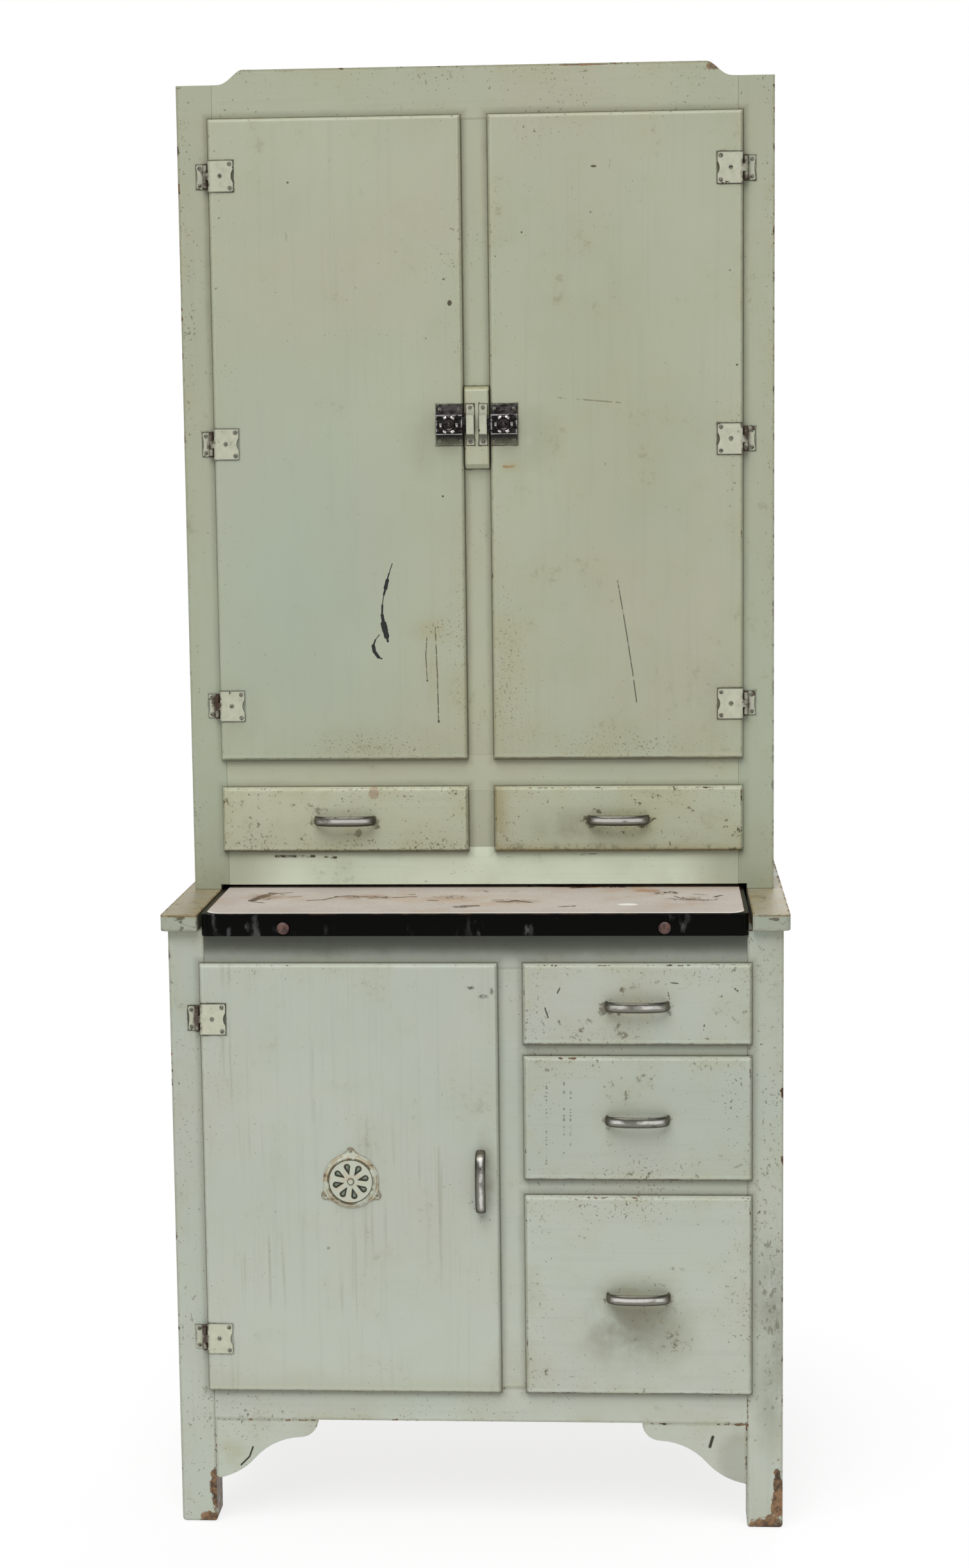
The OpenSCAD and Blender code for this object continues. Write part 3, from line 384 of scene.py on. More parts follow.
def painted(name, tone, wear=1.0, dirt=1.0, brush=(1, 1, 0.03), extra=None, outlines=(), fittings=(),
            joined=(0, 0, 0), outer=None, face_only=False, lip_light_and_shade=False, sheen=0.4):
    """Old brush-painted wood: chipped and rubbed edges, grime, specks and faint brush marks.

    brush draws its strokes out, joined gives the directions in which the board ends against
    others, and outer is the distance from the middle beyond which its edges are worn. outlines
    and fittings are boxes that have dark lines of grime and painted shade round them, and extra
    lays the board's own marks. A lipped board gets a painted highlight along the top of its lip
    and a painted shadow along its foot.
    """
    paint = settings("cabinet_paint")
    wood, grime, yellow = paint.wood, paint.grime, paint.yellow
    f = Finish(name)
    edge = f.edge(joined)
    if outer:
        edge = edge + abs(f.x).between(outer, outer - 0.02) * 0.1
    cloud = f.noise(3.1, 4)
    patch = f.noise(14, 5, rough=0.62)
    fine = f.noise(90, 5, rough=0.7)
    strands = f.noise(150, 3, vector=f.stretched(*brush))
    f.colour = f.mix(cloud.between(0.3, 0.7), shade(tone, 0.95), shade(tone, 1.04))
    # Painted light: the paint is lighter towards the floor
    f.lay(f.z.between(0.7, 0.15), shade(tone, 1.08))
    warmer = (tone[0] * 1.05, tone[1] * 0.97, tone[2] * 0.99)
    f.lay(f.noise(4.4, 3).between(0.42, 0.68) * 0.6, warmer)
    f.lay(patch.between(0.42, 0.8) * 0.22 * dirt, yellow)
    f.lay((strands - 0.5).between(0.02, 0.2) * 0.16, shade(tone, 0.8))
    # Lighter, rubbed edges, then grime that settles along them
    f.lay(edge.between(0.007, 0.001) * 0.3, shade(tone, 1.2))
    seep = (edge + (patch - 0.5) * 0.05).between(0.028, 0.0) * patch.between(0.42, 0.62)
    f.lay(seep * 0.2 * dirt, yellow)
    f.lay((edge + (fine - 0.5) * 0.006).between(0.0045, 0.001) * 0.3 * dirt, grime)
    face = f.face() if face_only else 1.0
    # Painted highlight along the top of a lip and in a thin line above its foot, and painted shadow along its
    # foot
    if lip_light_and_shade:
        _, _, over = f.parts(f.vector("ADD", f.attribute("middle"), f.attribute("half")))
        _, _, under = f.parts(f.vector("SUBTRACT", f.attribute("middle"), f.attribute("half")))
        top, foot = over - f.z, f.z - under
        pale = (top + (patch - 0.5) * 0.004).between(0.006, 0.003)
        pale = pale.most(abs(foot - 0.0065).between(0.003, 0.001))
        f.lay(pale * 0.22, shade(tone, 1.3))
        dark = (foot + (fine - 0.5) * 0.004 + (patch - 0.5) * 0.006).between(0.004, 0.0022)
        f.lay(dark * 0.6, shade(grime, 0.42))
    # Grime and painted shade in dark lines round the doors and drawers, on the boards about them
    for low_corner, high_corner in outlines:
        away = f.outline(low_corner, high_corner)
        grime_and_shade = (away + (patch - 0.5) * 0.012).between(0.012, 0.0) * 0.3
        grime_and_shade = grime_and_shade.most((away + (fine - 0.5) * 0.002).between(0.0035, 0.001) * 0.62)
        f.lay(grime_and_shade * f.before(low_corner[1]) * dirt, shade(grime, 0.5))
    # Grime and painted shade round each fitting, and a thin line of painted shade along its edge
    for low_corner, high_corner in fittings:
        away = f.outline(low_corner, high_corner)
        front = f.before(low_corner[1]) * face
        spread = (away + (patch - 0.5) * 0.04).between(0.018, 0.0) * 0.4
        grime_and_shade = (away + (fine - 0.5) * 0.008).between(0.0032, 0.0) * patch.between(0.35, 0.6).most(spread)
        f.lay(grime_and_shade * 0.6 * front, shade(grime, 0.5))
        line = (away + (fine - 0.5) * 0.0012).between(0.0018, 0.0008) * patch.between(0.3, 0.5)
        f.lay(line * 0.75 * front, shade(grime, 0.2))
    # Fine dirt, specks and runs
    f.lay((fine * patch).between(0.33, 0.46) * 0.3 * dirt, grime)
    shaken = f.ragged(330, 0.006)
    flock = f.noise(5.5, 3).between(0.46, 0.6)
    fine_dots = f.specks(90, 0.16 * dirt, 0.12, vector=shaken) * flock
    dots = f.specks(26, 0.1 * dirt, 0.06, vector=shaken).most(fine_dots)
    f.lay(dots * fine.between(0.3, 0.6) * 0.8, shade(grime, 0.5))
    run = f.specks(1, 0.1 * dirt, 0.13, vector=f.vector("MULTIPLY", shaken, (80.0, 80.0, 12.0)))
    f.lay(run * 0.25, shade(grime, 0.8))
    # Pepper of small marks, thicker towards the edges
    pepper = f.noise(240, 4, rough=0.6)
    clump = (f.noise(9, 4, rough=0.6) - 0.5) * 0.26
    crowd = (edge + (cloud - 0.5) * 0.2).between(0.06, 0.0) * 0.05 * dirt + clump + 0.025 * dirt
    marks = (pepper + crowd).between(0.715, 0.76)
    speck_tone = f.mix(patch.between(0.4, 0.6), shade(grime, 0.45), shade(grime, 0.95))
    f.lay(marks * 0.62, speck_tone)
    flecks = (f.noise(130, 5, rough=0.62) + crowd * 0.8).between(0.735, 0.765)
    f.lay(flecks * 0.7, shade(grime, 0.5))
    # Chips down to the wood, most of them on the edges
    near = edge.between(0.006, 0.0005)
    spared = 0.785 - 0.05 * paint.chips
    chip = (f.noise(42, 6, rough=0.68) + near * 0.17 * wear).between(spared, spared + 0.015)
    flake = (fine + near * 0.14 * wear).between(0.77, 0.79)
    bare = f.mix(fine.between(0.4, 0.62), shade(wood, 0.16), shade(wood, 0.62))
    f.lay(chip.most(flake), bare)
    if extra:
        unmarked = f.colour
        extra(f, patch, fine)
        if face_only:
            f.colour = f.mix(face, unmarked, f.colour)
    height = strands * 0.35 + fine * 0.25 + patch * 0.5 - chip * 0.9 - dots * 0.4
    rough = chip * 0.3 + (patch * 0.2 + 0.38)
    return f.finish(rough, height, depth=0.0005, specular=sheen)


def bare_wood(name, tone, grain):
    """Plain softwood, browned with age; grain gives how much the figure is drawn out each way."""
    f = Finish(name)
    figure = f.stretched(*grain)
    rings = f.noise(34, 4, vector=figure, warp=0.6)
    hairs = f.noise(420, 2, vector=figure)
    age = f.noise(4, 4)
    f.colour = f.mix(rings.between(0.35, 0.65), shade(tone, 0.72), shade(tone, 1.12))
    f.lay(hairs.between(0.5, 0.75) * 0.4, shade(tone, 0.5))
    f.lay(age.between(0.45, 0.75) * 0.4, shade(tone, 0.62))
    f.lay(f.edge().between(0.01, 0.0) * 0.35, shade(tone, 0.5))
    return f.finish(age * 0.2 + 0.58, rings * 0.5 + hairs, depth=0.0004, specular=0.3)


def worn_metal(name, tone, tarnish, rough, feet=False):
    """Plated metal with dull patches, fine scratches and dirt in its corners; a pull instead gets dirt on its
    feet, a painted highlight along its bow and painted shade along its top and underside.
    """
    metal = settings("cabinet_metal")
    f = Finish(name)
    blotch = f.noise(120, 5, rough=0.65)
    scratch = f.noise(700, 2, vector=f.stretched(0.15, 1, 1))
    dull = blotch.between(0.62 - 0.25 * tarnish, 0.78 - 0.2 * tarnish)
    f.colour = f.mix(dull * 0.65, tone, shade(tone, 0.22))
    f.lay(scratch.between(0.55, 0.75) * 0.3, shade(tone, 0.6))
    shine = 0.0
    if feet:
        sweep, across = f.attribute("travel", out="Fac"), f.attribute("across", out="Fac")
        # Painted shade along the top and underside of the bow
        sides = across.between(0.5, 0.85).most(across.between(-0.35, -0.8))
        f.lay(sides * 0.7, srgb(50, 48, 40))
        # A painted highlight along the middle of the bow, where the metal is also made less metallic
        shine = abs(across - 0.12 + (blotch - 0.5) * 0.3).between(0.42, 0.12)
        shine = shine * abs(sweep - 0.5).between(0.34, 0.2) * f.noise(40, 3).between(0.34, 0.5)
        f.lay(shine * 0.9, srgb(206, 204, 198))
        end = sweep.least(1 - sweep)
        rusty = (end + (blotch - 0.5) * 0.2).between(0.24, 0.1)
        crust = f.mix(blotch.between(0.4, 0.6), srgb(50, 46, 34), srgb(88, 78, 58))
        f.lay(rusty * 0.9, crust)
        dull = dull.most(rusty)
    else:
        rusty = (f.edge() + (blotch - 0.5) * 0.006).between(0.0022, 0.0)
        f.lay(rusty * tarnish, shade(metal.rust, 0.6))
        dull = dull.most(rusty * tarnish)
    return f.finish(dull * 0.3 + scratch * 0.12 + rough, blotch + scratch * 0.3,
                    depth=0.00015, metallic=1 - dull * 0.7 - shine * 0.75)


def painted_metal(name, tone, rust_share, side, screws, joint=None, under=None, rusted=None):
    """Fittings brushed over with the cabinet's paint, with dark joints, screws and rust spots, painted shade
    on their sides, and a painted shadow under a raised middle.

    Places on a fitting are measured from its middle. side says which way their X grows: "left"
    to the right, "right" to the left, "frame" outwards from the cabinet's middle, and "both"
    outwards from the fitting's own.
    """
    rust = settings("cabinet_metal").rust
    f = Finish(name)
    edge = f.edge()
    blotch = f.noise(85, 5, rough=0.65)
    fine = f.noise(380, 4)
    x, _, z = f.within()
    if side == "both":
        x = abs(x)
    elif side == "frame":
        x = x * f.maths("SIGN", f.x)
    elif side == "right":
        x = x * -1.0
    f.colour = f.mix(blotch.between(0.35, 0.7), tone, shade(tone, 0.86))
    # Dark worn edges, with painted shade on the sides of the fitting
    worn = (edge + (blotch - 0.5) * 0.004).between(0.0012, 0.0002) * 0.5
    worn = worn.most(f.slope().between(0.04, 0.35) * blotch.between(0.3, 0.5))
    f.lay(worn * 0.85, srgb(58, 52, 38))
    for screw_x, screw_z in screws:
        spot = f.xyz(x - screw_x, 0.0, abs(z) - screw_z)
        ring = (f.length(spot) + (blotch - 0.5) * 0.004).between(0.0042, 0.0024)
        f.lay(ring * 0.5, shade(rust, 0.5))
    if joint:
        dark = (x + (blotch - 0.5) * 0.014).between(*joint)
        dark = dark * (f.noise(38, 3).between(0.42, 0.55) * 0.6 + 0.4)
        f.lay(dark * 0.95, f.mix(fine, shade(rust, 0.2), shade(rust, 0.7)))
    if rusted:
        crust = (f.blot(*rusted) + (blotch - 0.5) * 2 + (fine - 0.5)).between(0.35, 0.6)
        f.lay(crust * 0.9, f.mix(fine, shade(rust, 0.25), shade(rust, 0.8)))
    # Painted shadow under the raised middle of a strike
    if under:
        f.lay(z.between(-under, -under - 0.0015) * z.between(-0.03, -0.018) * 0.7, srgb(70, 70, 52))
    spared = 0.74 - 0.12 * rust_share
    lost = (blotch + edge.between(0.005, 0.0) * 0.1).between(spared, spared + 0.03)
    f.lay(lost, f.mix(fine, shade(rust, 0.35), rust))
    return f.finish(lost * 0.25 + 0.42, blotch * 0.5 + fine * 0.3 - lost, depth=0.0003)


# ---- Shapes ----

# Round on the edges of the doors, drawers and bare boards
BOARD_ROUND = 0.0008


def new_piece(name, mesh, material, body):
    piece = bpy.data.objects.new(name, mesh)
    bpy.context.scene.collection.objects.link(piece)
    piece.data.materials.clear()
    piece.data.materials.append(material)
    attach(piece, body)
    return piece


def islands(mesh):
    """The separate boards of a mesh, as lists of vertex numbers."""
    links = [[] for _ in mesh.vertices]
    for edge in mesh.edges:
        a, b = edge.vertices
        links[a].append(b)
        links[b].append(a)
    seen, found = set(), []
    for start in range(len(mesh.vertices)):
        if start in seen:
            continue
        group, todo = [], [start]
        seen.add(start)
        while todo:
            here = todo.pop()
            group.append(here)
            for other in links[here]:
                if other not in seen:
                    seen.add(other)
                    todo.append(other)
        found.append(group)
    return found


def corners(mesh, group):
    """Lowest and highest corner of one board of a mesh."""
    points = [mesh.vertices[i].co for i in group]
    return Vector(map(min, zip(*points))), Vector(map(max, zip(*points)))


def note_boards(mesh):
    """Stores the middle and half size of each board, from which the finishes find its edges."""
    middle = [0.0] * (3 * len(mesh.vertices))
    half = list(middle)
    for group in islands(mesh):
        low, high = corners(mesh, group)
        for i in group:
            middle[3 * i:3 * i + 3] = (low + high) / 2
            half[3 * i:3 * i + 3] = (high - low) / 2
    for name, values in (("middle", middle), ("half", half)):
        mesh.attributes.new(name, "FLOAT_VECTOR", "POINT").data.foreach_set("vector", values)


def soften(mesh, width, segments, angle):
    """The mesh with its edges rounded and its curved faces shaded smooth."""
    scratch = bpy.data.objects.new("softening", mesh)
    bpy.context.scene.collection.objects.link(scratch)
    for face in mesh.polygons:
        face.use_smooth = True
    if width:
        round_off = scratch.modifiers.new("Round", "BEVEL")
        round_off.width = width
        round_off.segments = segments
        round_off.limit_method = "ANGLE"
        round_off.angle_limit = math.radians(angle)
        round_off.harden_normals = True
        round_off.use_clamp_overlap = True
    bpy.context.view_layer.update()
    ready = scratch.evaluated_get(bpy.context.evaluated_depsgraph_get())
    made = bpy.data.meshes.new_from_object(ready)
    bpy.data.objects.remove(scratch)
    return made


def merged(node):
    """A copy of a board or fitting with its loose triangles joined into whole faces."""
    mesh = frame["nodes"][node].data.copy()
    if "custom_normal" in mesh.attributes:
        mesh.attributes.remove(mesh.attributes["custom_normal"])
    shape = bmesh.new()
    shape.from_mesh(mesh)
    bmesh.ops.remove_doubles(shape, verts=shape.verts, dist=2e-6)
    bmesh.ops.dissolve_limit(shape, angle_limit=math.radians(0.4), verts=shape.verts,
                             edges=shape.edges)
    shape.to_mesh(mesh)
    shape.free()
    return mesh


def leaf_boxes(node):
    """Lowest and highest corner of each leaf of a node."""
    mesh = merged(node)
    found = [corners(mesh, group) for group in islands(mesh)]
    bpy.data.meshes.remove(mesh)
    return found


def stand_in(name, mesh, material, node):
    """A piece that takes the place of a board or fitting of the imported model, and moves with its body."""
    piece = new_piece(name, mesh, material, frame["nodes"][node]["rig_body"])
    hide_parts(node)
    return piece


def dress(node, material, width, segments=2, angle=32.0):
    """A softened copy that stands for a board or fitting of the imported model."""
    mesh = soften(merged(node), width, segments, angle)
    note_boards(mesh)
    return stand_in("dressed_" + node, mesh, material, node)


def skin(shape, rings):
    """Adds faces over rings of points to a shape, and closes the two ends."""
    verts = [[shape.verts.new(point) for point in ring] for ring in rings]
    count = len(rings[0])
    for first, second in zip(verts, verts[1:]):
        for j in range(count):
            shape.faces.new((first[j], first[(j + 1) % count], second[(j + 1) % count], second[j]))
    shape.faces.new(verts[0][::-1])
    shape.faces.new(verts[-1])


def swept(rings):
    """A mesh skinned over rings of points, with flat ends and smooth sides."""
    shape = bmesh.new()
    skin(shape, rings)
    bmesh.ops.recalc_face_normals(shape, faces=shape.faces)
    mesh = bpy.data.meshes.new("swept")
    shape.to_mesh(mesh)
    shape.free()
    for face in mesh.polygons:
        face.use_smooth = len(face.vertices) < 5
    return mesh


# ---- Painted case and boards ----

UPPER_FRONTS = ("upper_left_door", "upper_right_door", "upper_left_drawer", "upper_right_drawer")
LOWER_FRONTS = ("lower_door", "top_drawer", "middle_drawer", "bottom_drawer")


def edge_nicks(f, fine, scale, start, x):
    """Dark nicks down to the wood along the outer edges at x; start is where the noise shows."""
    nicks = f.noise(scale, 4, vector=f.stretched(1, 1, 0.6)).between(start, start + 0.06)
    nicks = nicks * (abs(f.x) + (fine - 0.5) * 0.004).between(x, x + 0.002)
    f.lay(nicks * 0.85, shade(settings("cabinet_paint").wood, 0.22))


def worn_feet(f, patch, fine):
    """Bare, chipped wood at the feet and outer edges of the posts."""
    wood = settings("cabinet_paint").wood
    low = f.z.between(0.05, 0.0) * 0.62
    side = abs(f.x).between(0.404, 0.42) * f.z.between(0.19, 0.08) * 0.55
    inner = f.blots((-0.371, 0.05, 0.022, 0.075), (0.412, 0.06, 0.02, 0.085))
    bare = (low.most(side).most(inner) + (patch - 0.5) * 1.5 + (fine - 0.5) * 0.8).between(0.58, 0.66)
    f.lay(bare, f.mix(fine.between(0.4, 0.62), shade(wood, 0.18), shade(wood, 0.8)))
    soot_and_shadow = f.blot(0.402, 0.33, 0.035, 0.12).most(f.blot(0.4, 0.2, 0.03, 0.14) * 0.8)
    soot_and_shadow = soot_and_shadow.most(f.blot(0.41, 0.27, 0.022, 0.2) * 0.9)
    f.lay(soot_and_shadow * patch.between(0.25, 0.55) * 0.5, srgb(104, 106, 90))
    grit = f.blot(0.4, 0.42, 0.05, 0.5).most(f.blot(-0.4, 0.3, 0.05, 0.35) * 0.6) * 0.09
    crumbs = f.noise(150, 5, rough=0.62, vector=f.stretched(1, 1, 0.6))
    grit = (crumbs + grit + soot_and_shadow * 0.06).between(0.68, 0.73)
    f.lay(grit * 0.55, srgb(92, 88, 68))
    edge_nicks(f, fine, 60, 0.54, 0.4235)


def worn_ends(f, patch, fine):
    """Rubbed brown tops of the worktop's wooden ends."""
    paint = settings("cabinet_paint")
    low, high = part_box("worktop_ends")
    top = high.z
    rub = f.z.between(top - 0.004, top - 0.001) * (patch.between(0.28, 0.55) * 0.6 + 0.4)
    f.lay(rub * 0.6, f.mix(fine, shade(paint.wood, 0.8), paint.yellow))
    lost = f.blots((0.405, top - 0.006, 0.02, 0.006), (-0.397, top - 0.004, 0.016, 0.006))
    front = f.y.between(low.y + 0.012, low.y + 0.006)
    f.lay(front * (1 - rub) * 0.75, srgb(160, 166, 150))
    cracks = abs(f.noise(24, 4, warp=1.0) - 0.5).between(0.012, 0.004) * patch.between(0.45, 0.6)
    f.lay(cracks * 0.7, srgb(70, 66, 50))
    lost = (lost + (fine - 0.5) * 1.4).between(0.6, 0.75) * front
    f.lay(lost * 0.8, srgb(84, 76, 56))


def stile_marks(f, patch, fine):
    """Dark nicks along the outer edges, and yellow grime at the foot."""
    edge_nicks(f, fine, 52, 0.56, 0.4185)
    foot = f.z.between(1.0, 0.88) * patch.between(0.35, 0.62)
    f.lay(f.z.between(1.75, 1.15) * 0.4, srgb(156, 168, 150))
    f.lay(foot * 0.2, settings("cabinet_paint").yellow)


def crest_marks(f, patch, fine):
    """Brown worn patches along the top of the crest."""
    wood = settings("cabinet_paint").wood
    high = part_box("crest_rail")[1].z
    lost = f.blots((0.33, high - 0.006, 0.025, 0.02), (0.372, high - 0.03, 0.012),
                   (0.16, high - 0.002, 0.15, 0.0035))
    lost = (lost + (patch - 0.5) * 1.6 + (fine - 0.5)).between(0.75, 0.85)
    f.lay(lost * 0.85, f.mix(fine.between(0.4, 0.6), shade(wood, 0.2), shade(wood, 0.8)))


def rail_marks(f, patch, fine):
    """Brown dashes under the upper drawers."""
    grime = settings("cabinet_paint").grime
    dashes = f.strokes(([(-0.297, 0.911), (-0.241, 0.911)], 0.003),
                       ([(-0.225, 0.910), (-0.21, 0.909)], 0.003))
    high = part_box("upper_bottom_rail")[1].z
    scrapes = f.noise(120, 4, vector=f.stretched(0.16, 1, 1), rough=0.6)
    scrapes = (scrapes + f.z.between(high - 0.022, high - 0.01) * 0.07).between(0.69, 0.73)
    f.lay(scrapes * fine.between(0.4, 0.5) * 0.75, shade(grime, 0.45))
    ends = abs(f.x).between(0.27, 0.35) * 0.8
    f.lay(ends, settings("cabinet_paint").upper)
    f.lay(dashes * fine.between(0.4, 0.52), shade(grime, 0.55))


def bracket_marks(f, patch, fine):
    """A slash on one bracket and a split in the other."""
    dark = shade(settings("cabinet_paint").grime, 0.2)
    marks = f.strokes(([(0.322, 0.131), (0.318, 0.117)], 0.0035),
                      ([(-0.334, 0.084), (-0.322, 0.096), (-0.317, 0.11)], 0.002))
    stains = f.blots((-0.345, 0.1, 0.03), (0.39, 0.1, 0.03, 0.04))
    f.lay(stains * patch.between(0.35, 0.6) * 0.5, settings("cabinet_paint").yellow)
    smoky = (f.blot(0.36, 0.09, 0.05, 0.09) + (patch - 0.5)).between(0.1, 0.7)
    f.lay(smoky * 0.35, srgb(120, 120, 102))
    f.lay(marks, dark)


def rim_shadow(f, patch, fine):
    """Painted shadow of the worktop's rim on the rail under it, darkest at the rail's top."""
    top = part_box("base_top_rail")[1].z
    soot_and_shadow = (f.z + (patch - 0.5) * 0.012).between(top - 0.052, top - 0.02)
    f.lay(soot_and_shadow * 0.85, srgb(54, 58, 46))


class CABINET_OT_case(bpy.types.Operator):
    """Paints the posts, rails, stiles, sides, brackets and worktop ends"""
    bl_idname = "cabinet.case"
    bl_label = "Painted case"

    def execute(self, context):
        paint = settings("cabinet_paint")
        upper, lower = paint.upper, paint.lower
        above, below = [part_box(node) for node in UPPER_FRONTS], [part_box(node) for node in LOWER_FRONTS]
        upright, level = (1, 1, 0.03), (0.03, 1, 1)
        plates = leaf_boxes("hinge_frame_leaves")
        stile = painted("paint_stiles", shade(upper, 0.95), wear=1.2, dirt=1.2, brush=upright, outlines=above,
                        fittings=[box for box in plates if box[0].z > 1] + [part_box("strike_block")],
                        extra=stile_marks, joined=(0, 0, 1), outer=0.4)
        mullion = painted("paint_mullion", upper, dirt=1.2, brush=upright, outlines=above,
                          fittings=[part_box("strike_block")], joined=(1, 0, 1))
        rail = painted("paint_upper_rails", shade(upper, 1.06), brush=level, outlines=above, joined=(1, 0, 1))
        skirt = painted("paint_upper_skirt", srgb(211, 222, 200), wear=0.7, brush=level,
                        outlines=above, extra=rail_marks, joined=(1, 0, 1))
        post = painted("paint_posts", shade(lower, 0.98), brush=upright, outlines=below,
                       extra=worn_feet, fittings=[box for box in plates if box[0].z < 1])
        case = painted("paint_base_rails", lower, brush=level, outlines=below, joined=(1, 0, 0))
        head = painted("paint_base_head", shade(lower, 0.95), brush=level, outlines=below,
                       extra=rim_shadow, joined=(1, 0, 1))
        crest = painted("paint_crest", upper, brush=level, outlines=above, extra=crest_marks,
                        joined=(1, 0, 0))
        finishes = {
            "upper_stiles": stile, "centre_stiles": mullion, "upper_sides": stile, "crest_rail": crest,
            "upper_middle_rail": rail, "upper_bottom_rail": skirt, "corner_posts": post,
            "base_top_rail": head, "base_divider": case, "drawer_rails": case,
            "base_bottom_rail": case,
            "base_sides": painted("paint_base_sides", lower, brush=upright),
            "corner_brackets": painted("paint_brackets", lower, wear=1.3, brush=level,
                                       extra=bracket_marks),
            "worktop_ends": painted("paint_worktop_ends", shade(lower, 0.56), wear=1.7, dirt=1.6,
                                    brush=(1, 0.03, 1), extra=worn_ends, sheen=0.12),
        }
        flush = ("rail", "divider", "centre_stiles")
        for node, finish in finishes.items():
            dress(node, finish, paint.joint if any(word in node for word in flush) else paint.bevel)
        return {"FINISHED"}


class CABINET_OT_boards(bpy.types.Operator):
    """Finishes the bare boards inside and behind"""
    bl_idname = "cabinet.boards"
    bl_label = "Bare boards"

    def execute(self, context):
        wood = settings("cabinet_paint").wood
        upright = bare_wood("wood_upright", wood, (1, 1, 0.05))
        level = bare_wood("wood_level", wood, (0.05, 1, 1))
        deep = bare_wood("wood_deep", shade(wood, 0.95), (1, 0.05, 1))
        finishes = {
            "base_back": upright, "upper_back": upright, "base_partition": upright,
            "base_floor": level, "base_shelf": level, "upper_roof": level, "upper_floor": level,
            "upper_dust_board": level, "upper_shelves": level, "sheet_core": level,
            "drawer_runners": deep, "worktop_bearers": deep, "upper_drawer_guides": deep,
        }
        for node, finish in finishes.items():
            dress(node, finish, BOARD_ROUND)
        return {"FINISHED"}


# ---- Doors and drawers ----

def door_edges(f, patch, edge, corner, crowd, amount, tone):
    """Pepper and yellow grime along a door's lips, and greyer patches near its corners."""
    f.lay((f.noise(300, 4, rough=0.6) + crowd).between(0.69, 0.74) * amount, tone)
    f.lay(edge * patch.between(0.35, 0.65) * 0.2, settings("cabinet_paint").yellow)
    f.lay(corner * patch.between(0.3, 0.6) * 0.25, srgb(128, 128, 104))


def left_door_marks(f, patch, fine):
    """Black paint strokes, a yellow stain and scratches low on the left door."""
    grime, yellow = dirt_tones()
    black = srgb(34, 36, 34)
    f.lay(f.blot(-0.27, 1.32, 0.34, 0.5) * 0.6, srgb(160, 174, 158))
    stain = f.blot(-0.065, 1.235, 0.045, 0.03).most(f.blot(-0.068, 1.18, 0.018, 0.09) * 0.6)
    f.lay(stain * patch.between(0.3, 0.6) * 0.5, yellow)
    edge = f.blots((-0.018, 1.2, 0.06, 0.26), (-0.16, 1.07, 0.2, 0.05))
    corner = f.blots((-0.345, 1.12, 0.05, 0.07), (-0.06, 1.5, 0.06, 0.08))
    door_edges(f, patch, edge, corner, edge * 0.115 + stain * 0.1, 0.65, shade(grime, 0.55))
    scratches = f.strokes(([(-0.062, 1.238), (-0.06, 1.17), (-0.059, 1.106)], 0.0014),
                          ([(-0.074, 1.225), (-0.076, 1.2), (-0.0745, 1.165)], 0.0012))
    f.lay(scratches * fine.between(0.38, 0.5) * 0.85, shade(grime, 0.35))
    dots = f.blots((-0.036, 1.689, 0.006, 0.007), (-0.259, 1.857, 0.003), (-0.049, 1.422, 0.003),
                   (-0.007, 1.201, 0.004), (-0.0588, 1.105, 0.003, 0.004), (-0.0745, 1.163, 0.0025, 0.003),
                   (-0.013, 1.222, 0.003))
    # One drip that swells and thins, and a hook beside its end
    drip = f.strokes(
        ([(-0.1215, 1.3285), (-0.1262, 1.315)], 0.00112), ([(-0.1262, 1.315), (-0.129, 1.306)], 0.00176),
        ([(-0.129, 1.305), (-0.1315, 1.294)], 0.00464), ([(-0.1318, 1.293), (-0.134, 1.285)], 0.0024),
        ([(-0.134, 1.285), (-0.1366, 1.27)], 0.00112), ([(-0.1366, 1.27), (-0.137, 1.256)], 0.00224),
        ([(-0.137, 1.256), (-0.1352, 1.245)], 0.00368), ([(-0.1352, 1.244), (-0.133, 1.234)], 0.00656),
        ([(-0.133, 1.234), (-0.1308, 1.226)], 0.00592), ([(-0.1308, 1.226), (-0.1295, 1.219)], 0.00256),
        ([(-0.1412, 1.2285), (-0.1472, 1.221)], 0.00096), ([(-0.1472, 1.221), (-0.1502, 1.2125)], 0.00192),
        ([(-0.1502, 1.2125), (-0.149, 1.205)], 0.00432), ([(-0.149, 1.205), (-0.1432, 1.1968)], 0.00432),
        ([(-0.1432, 1.1968), (-0.1385, 1.1945)], 0.00192))
    ragged = (drip + (fine - 0.5) * 1.2 + (patch - 0.5) * 0.5).between(0.42, 0.62)
    f.lay((dots + (fine - 0.5) * 0.8).between(0.35, 0.6) * 0.9, shade(grime, 0.35))
    f.lay(ragged, black)


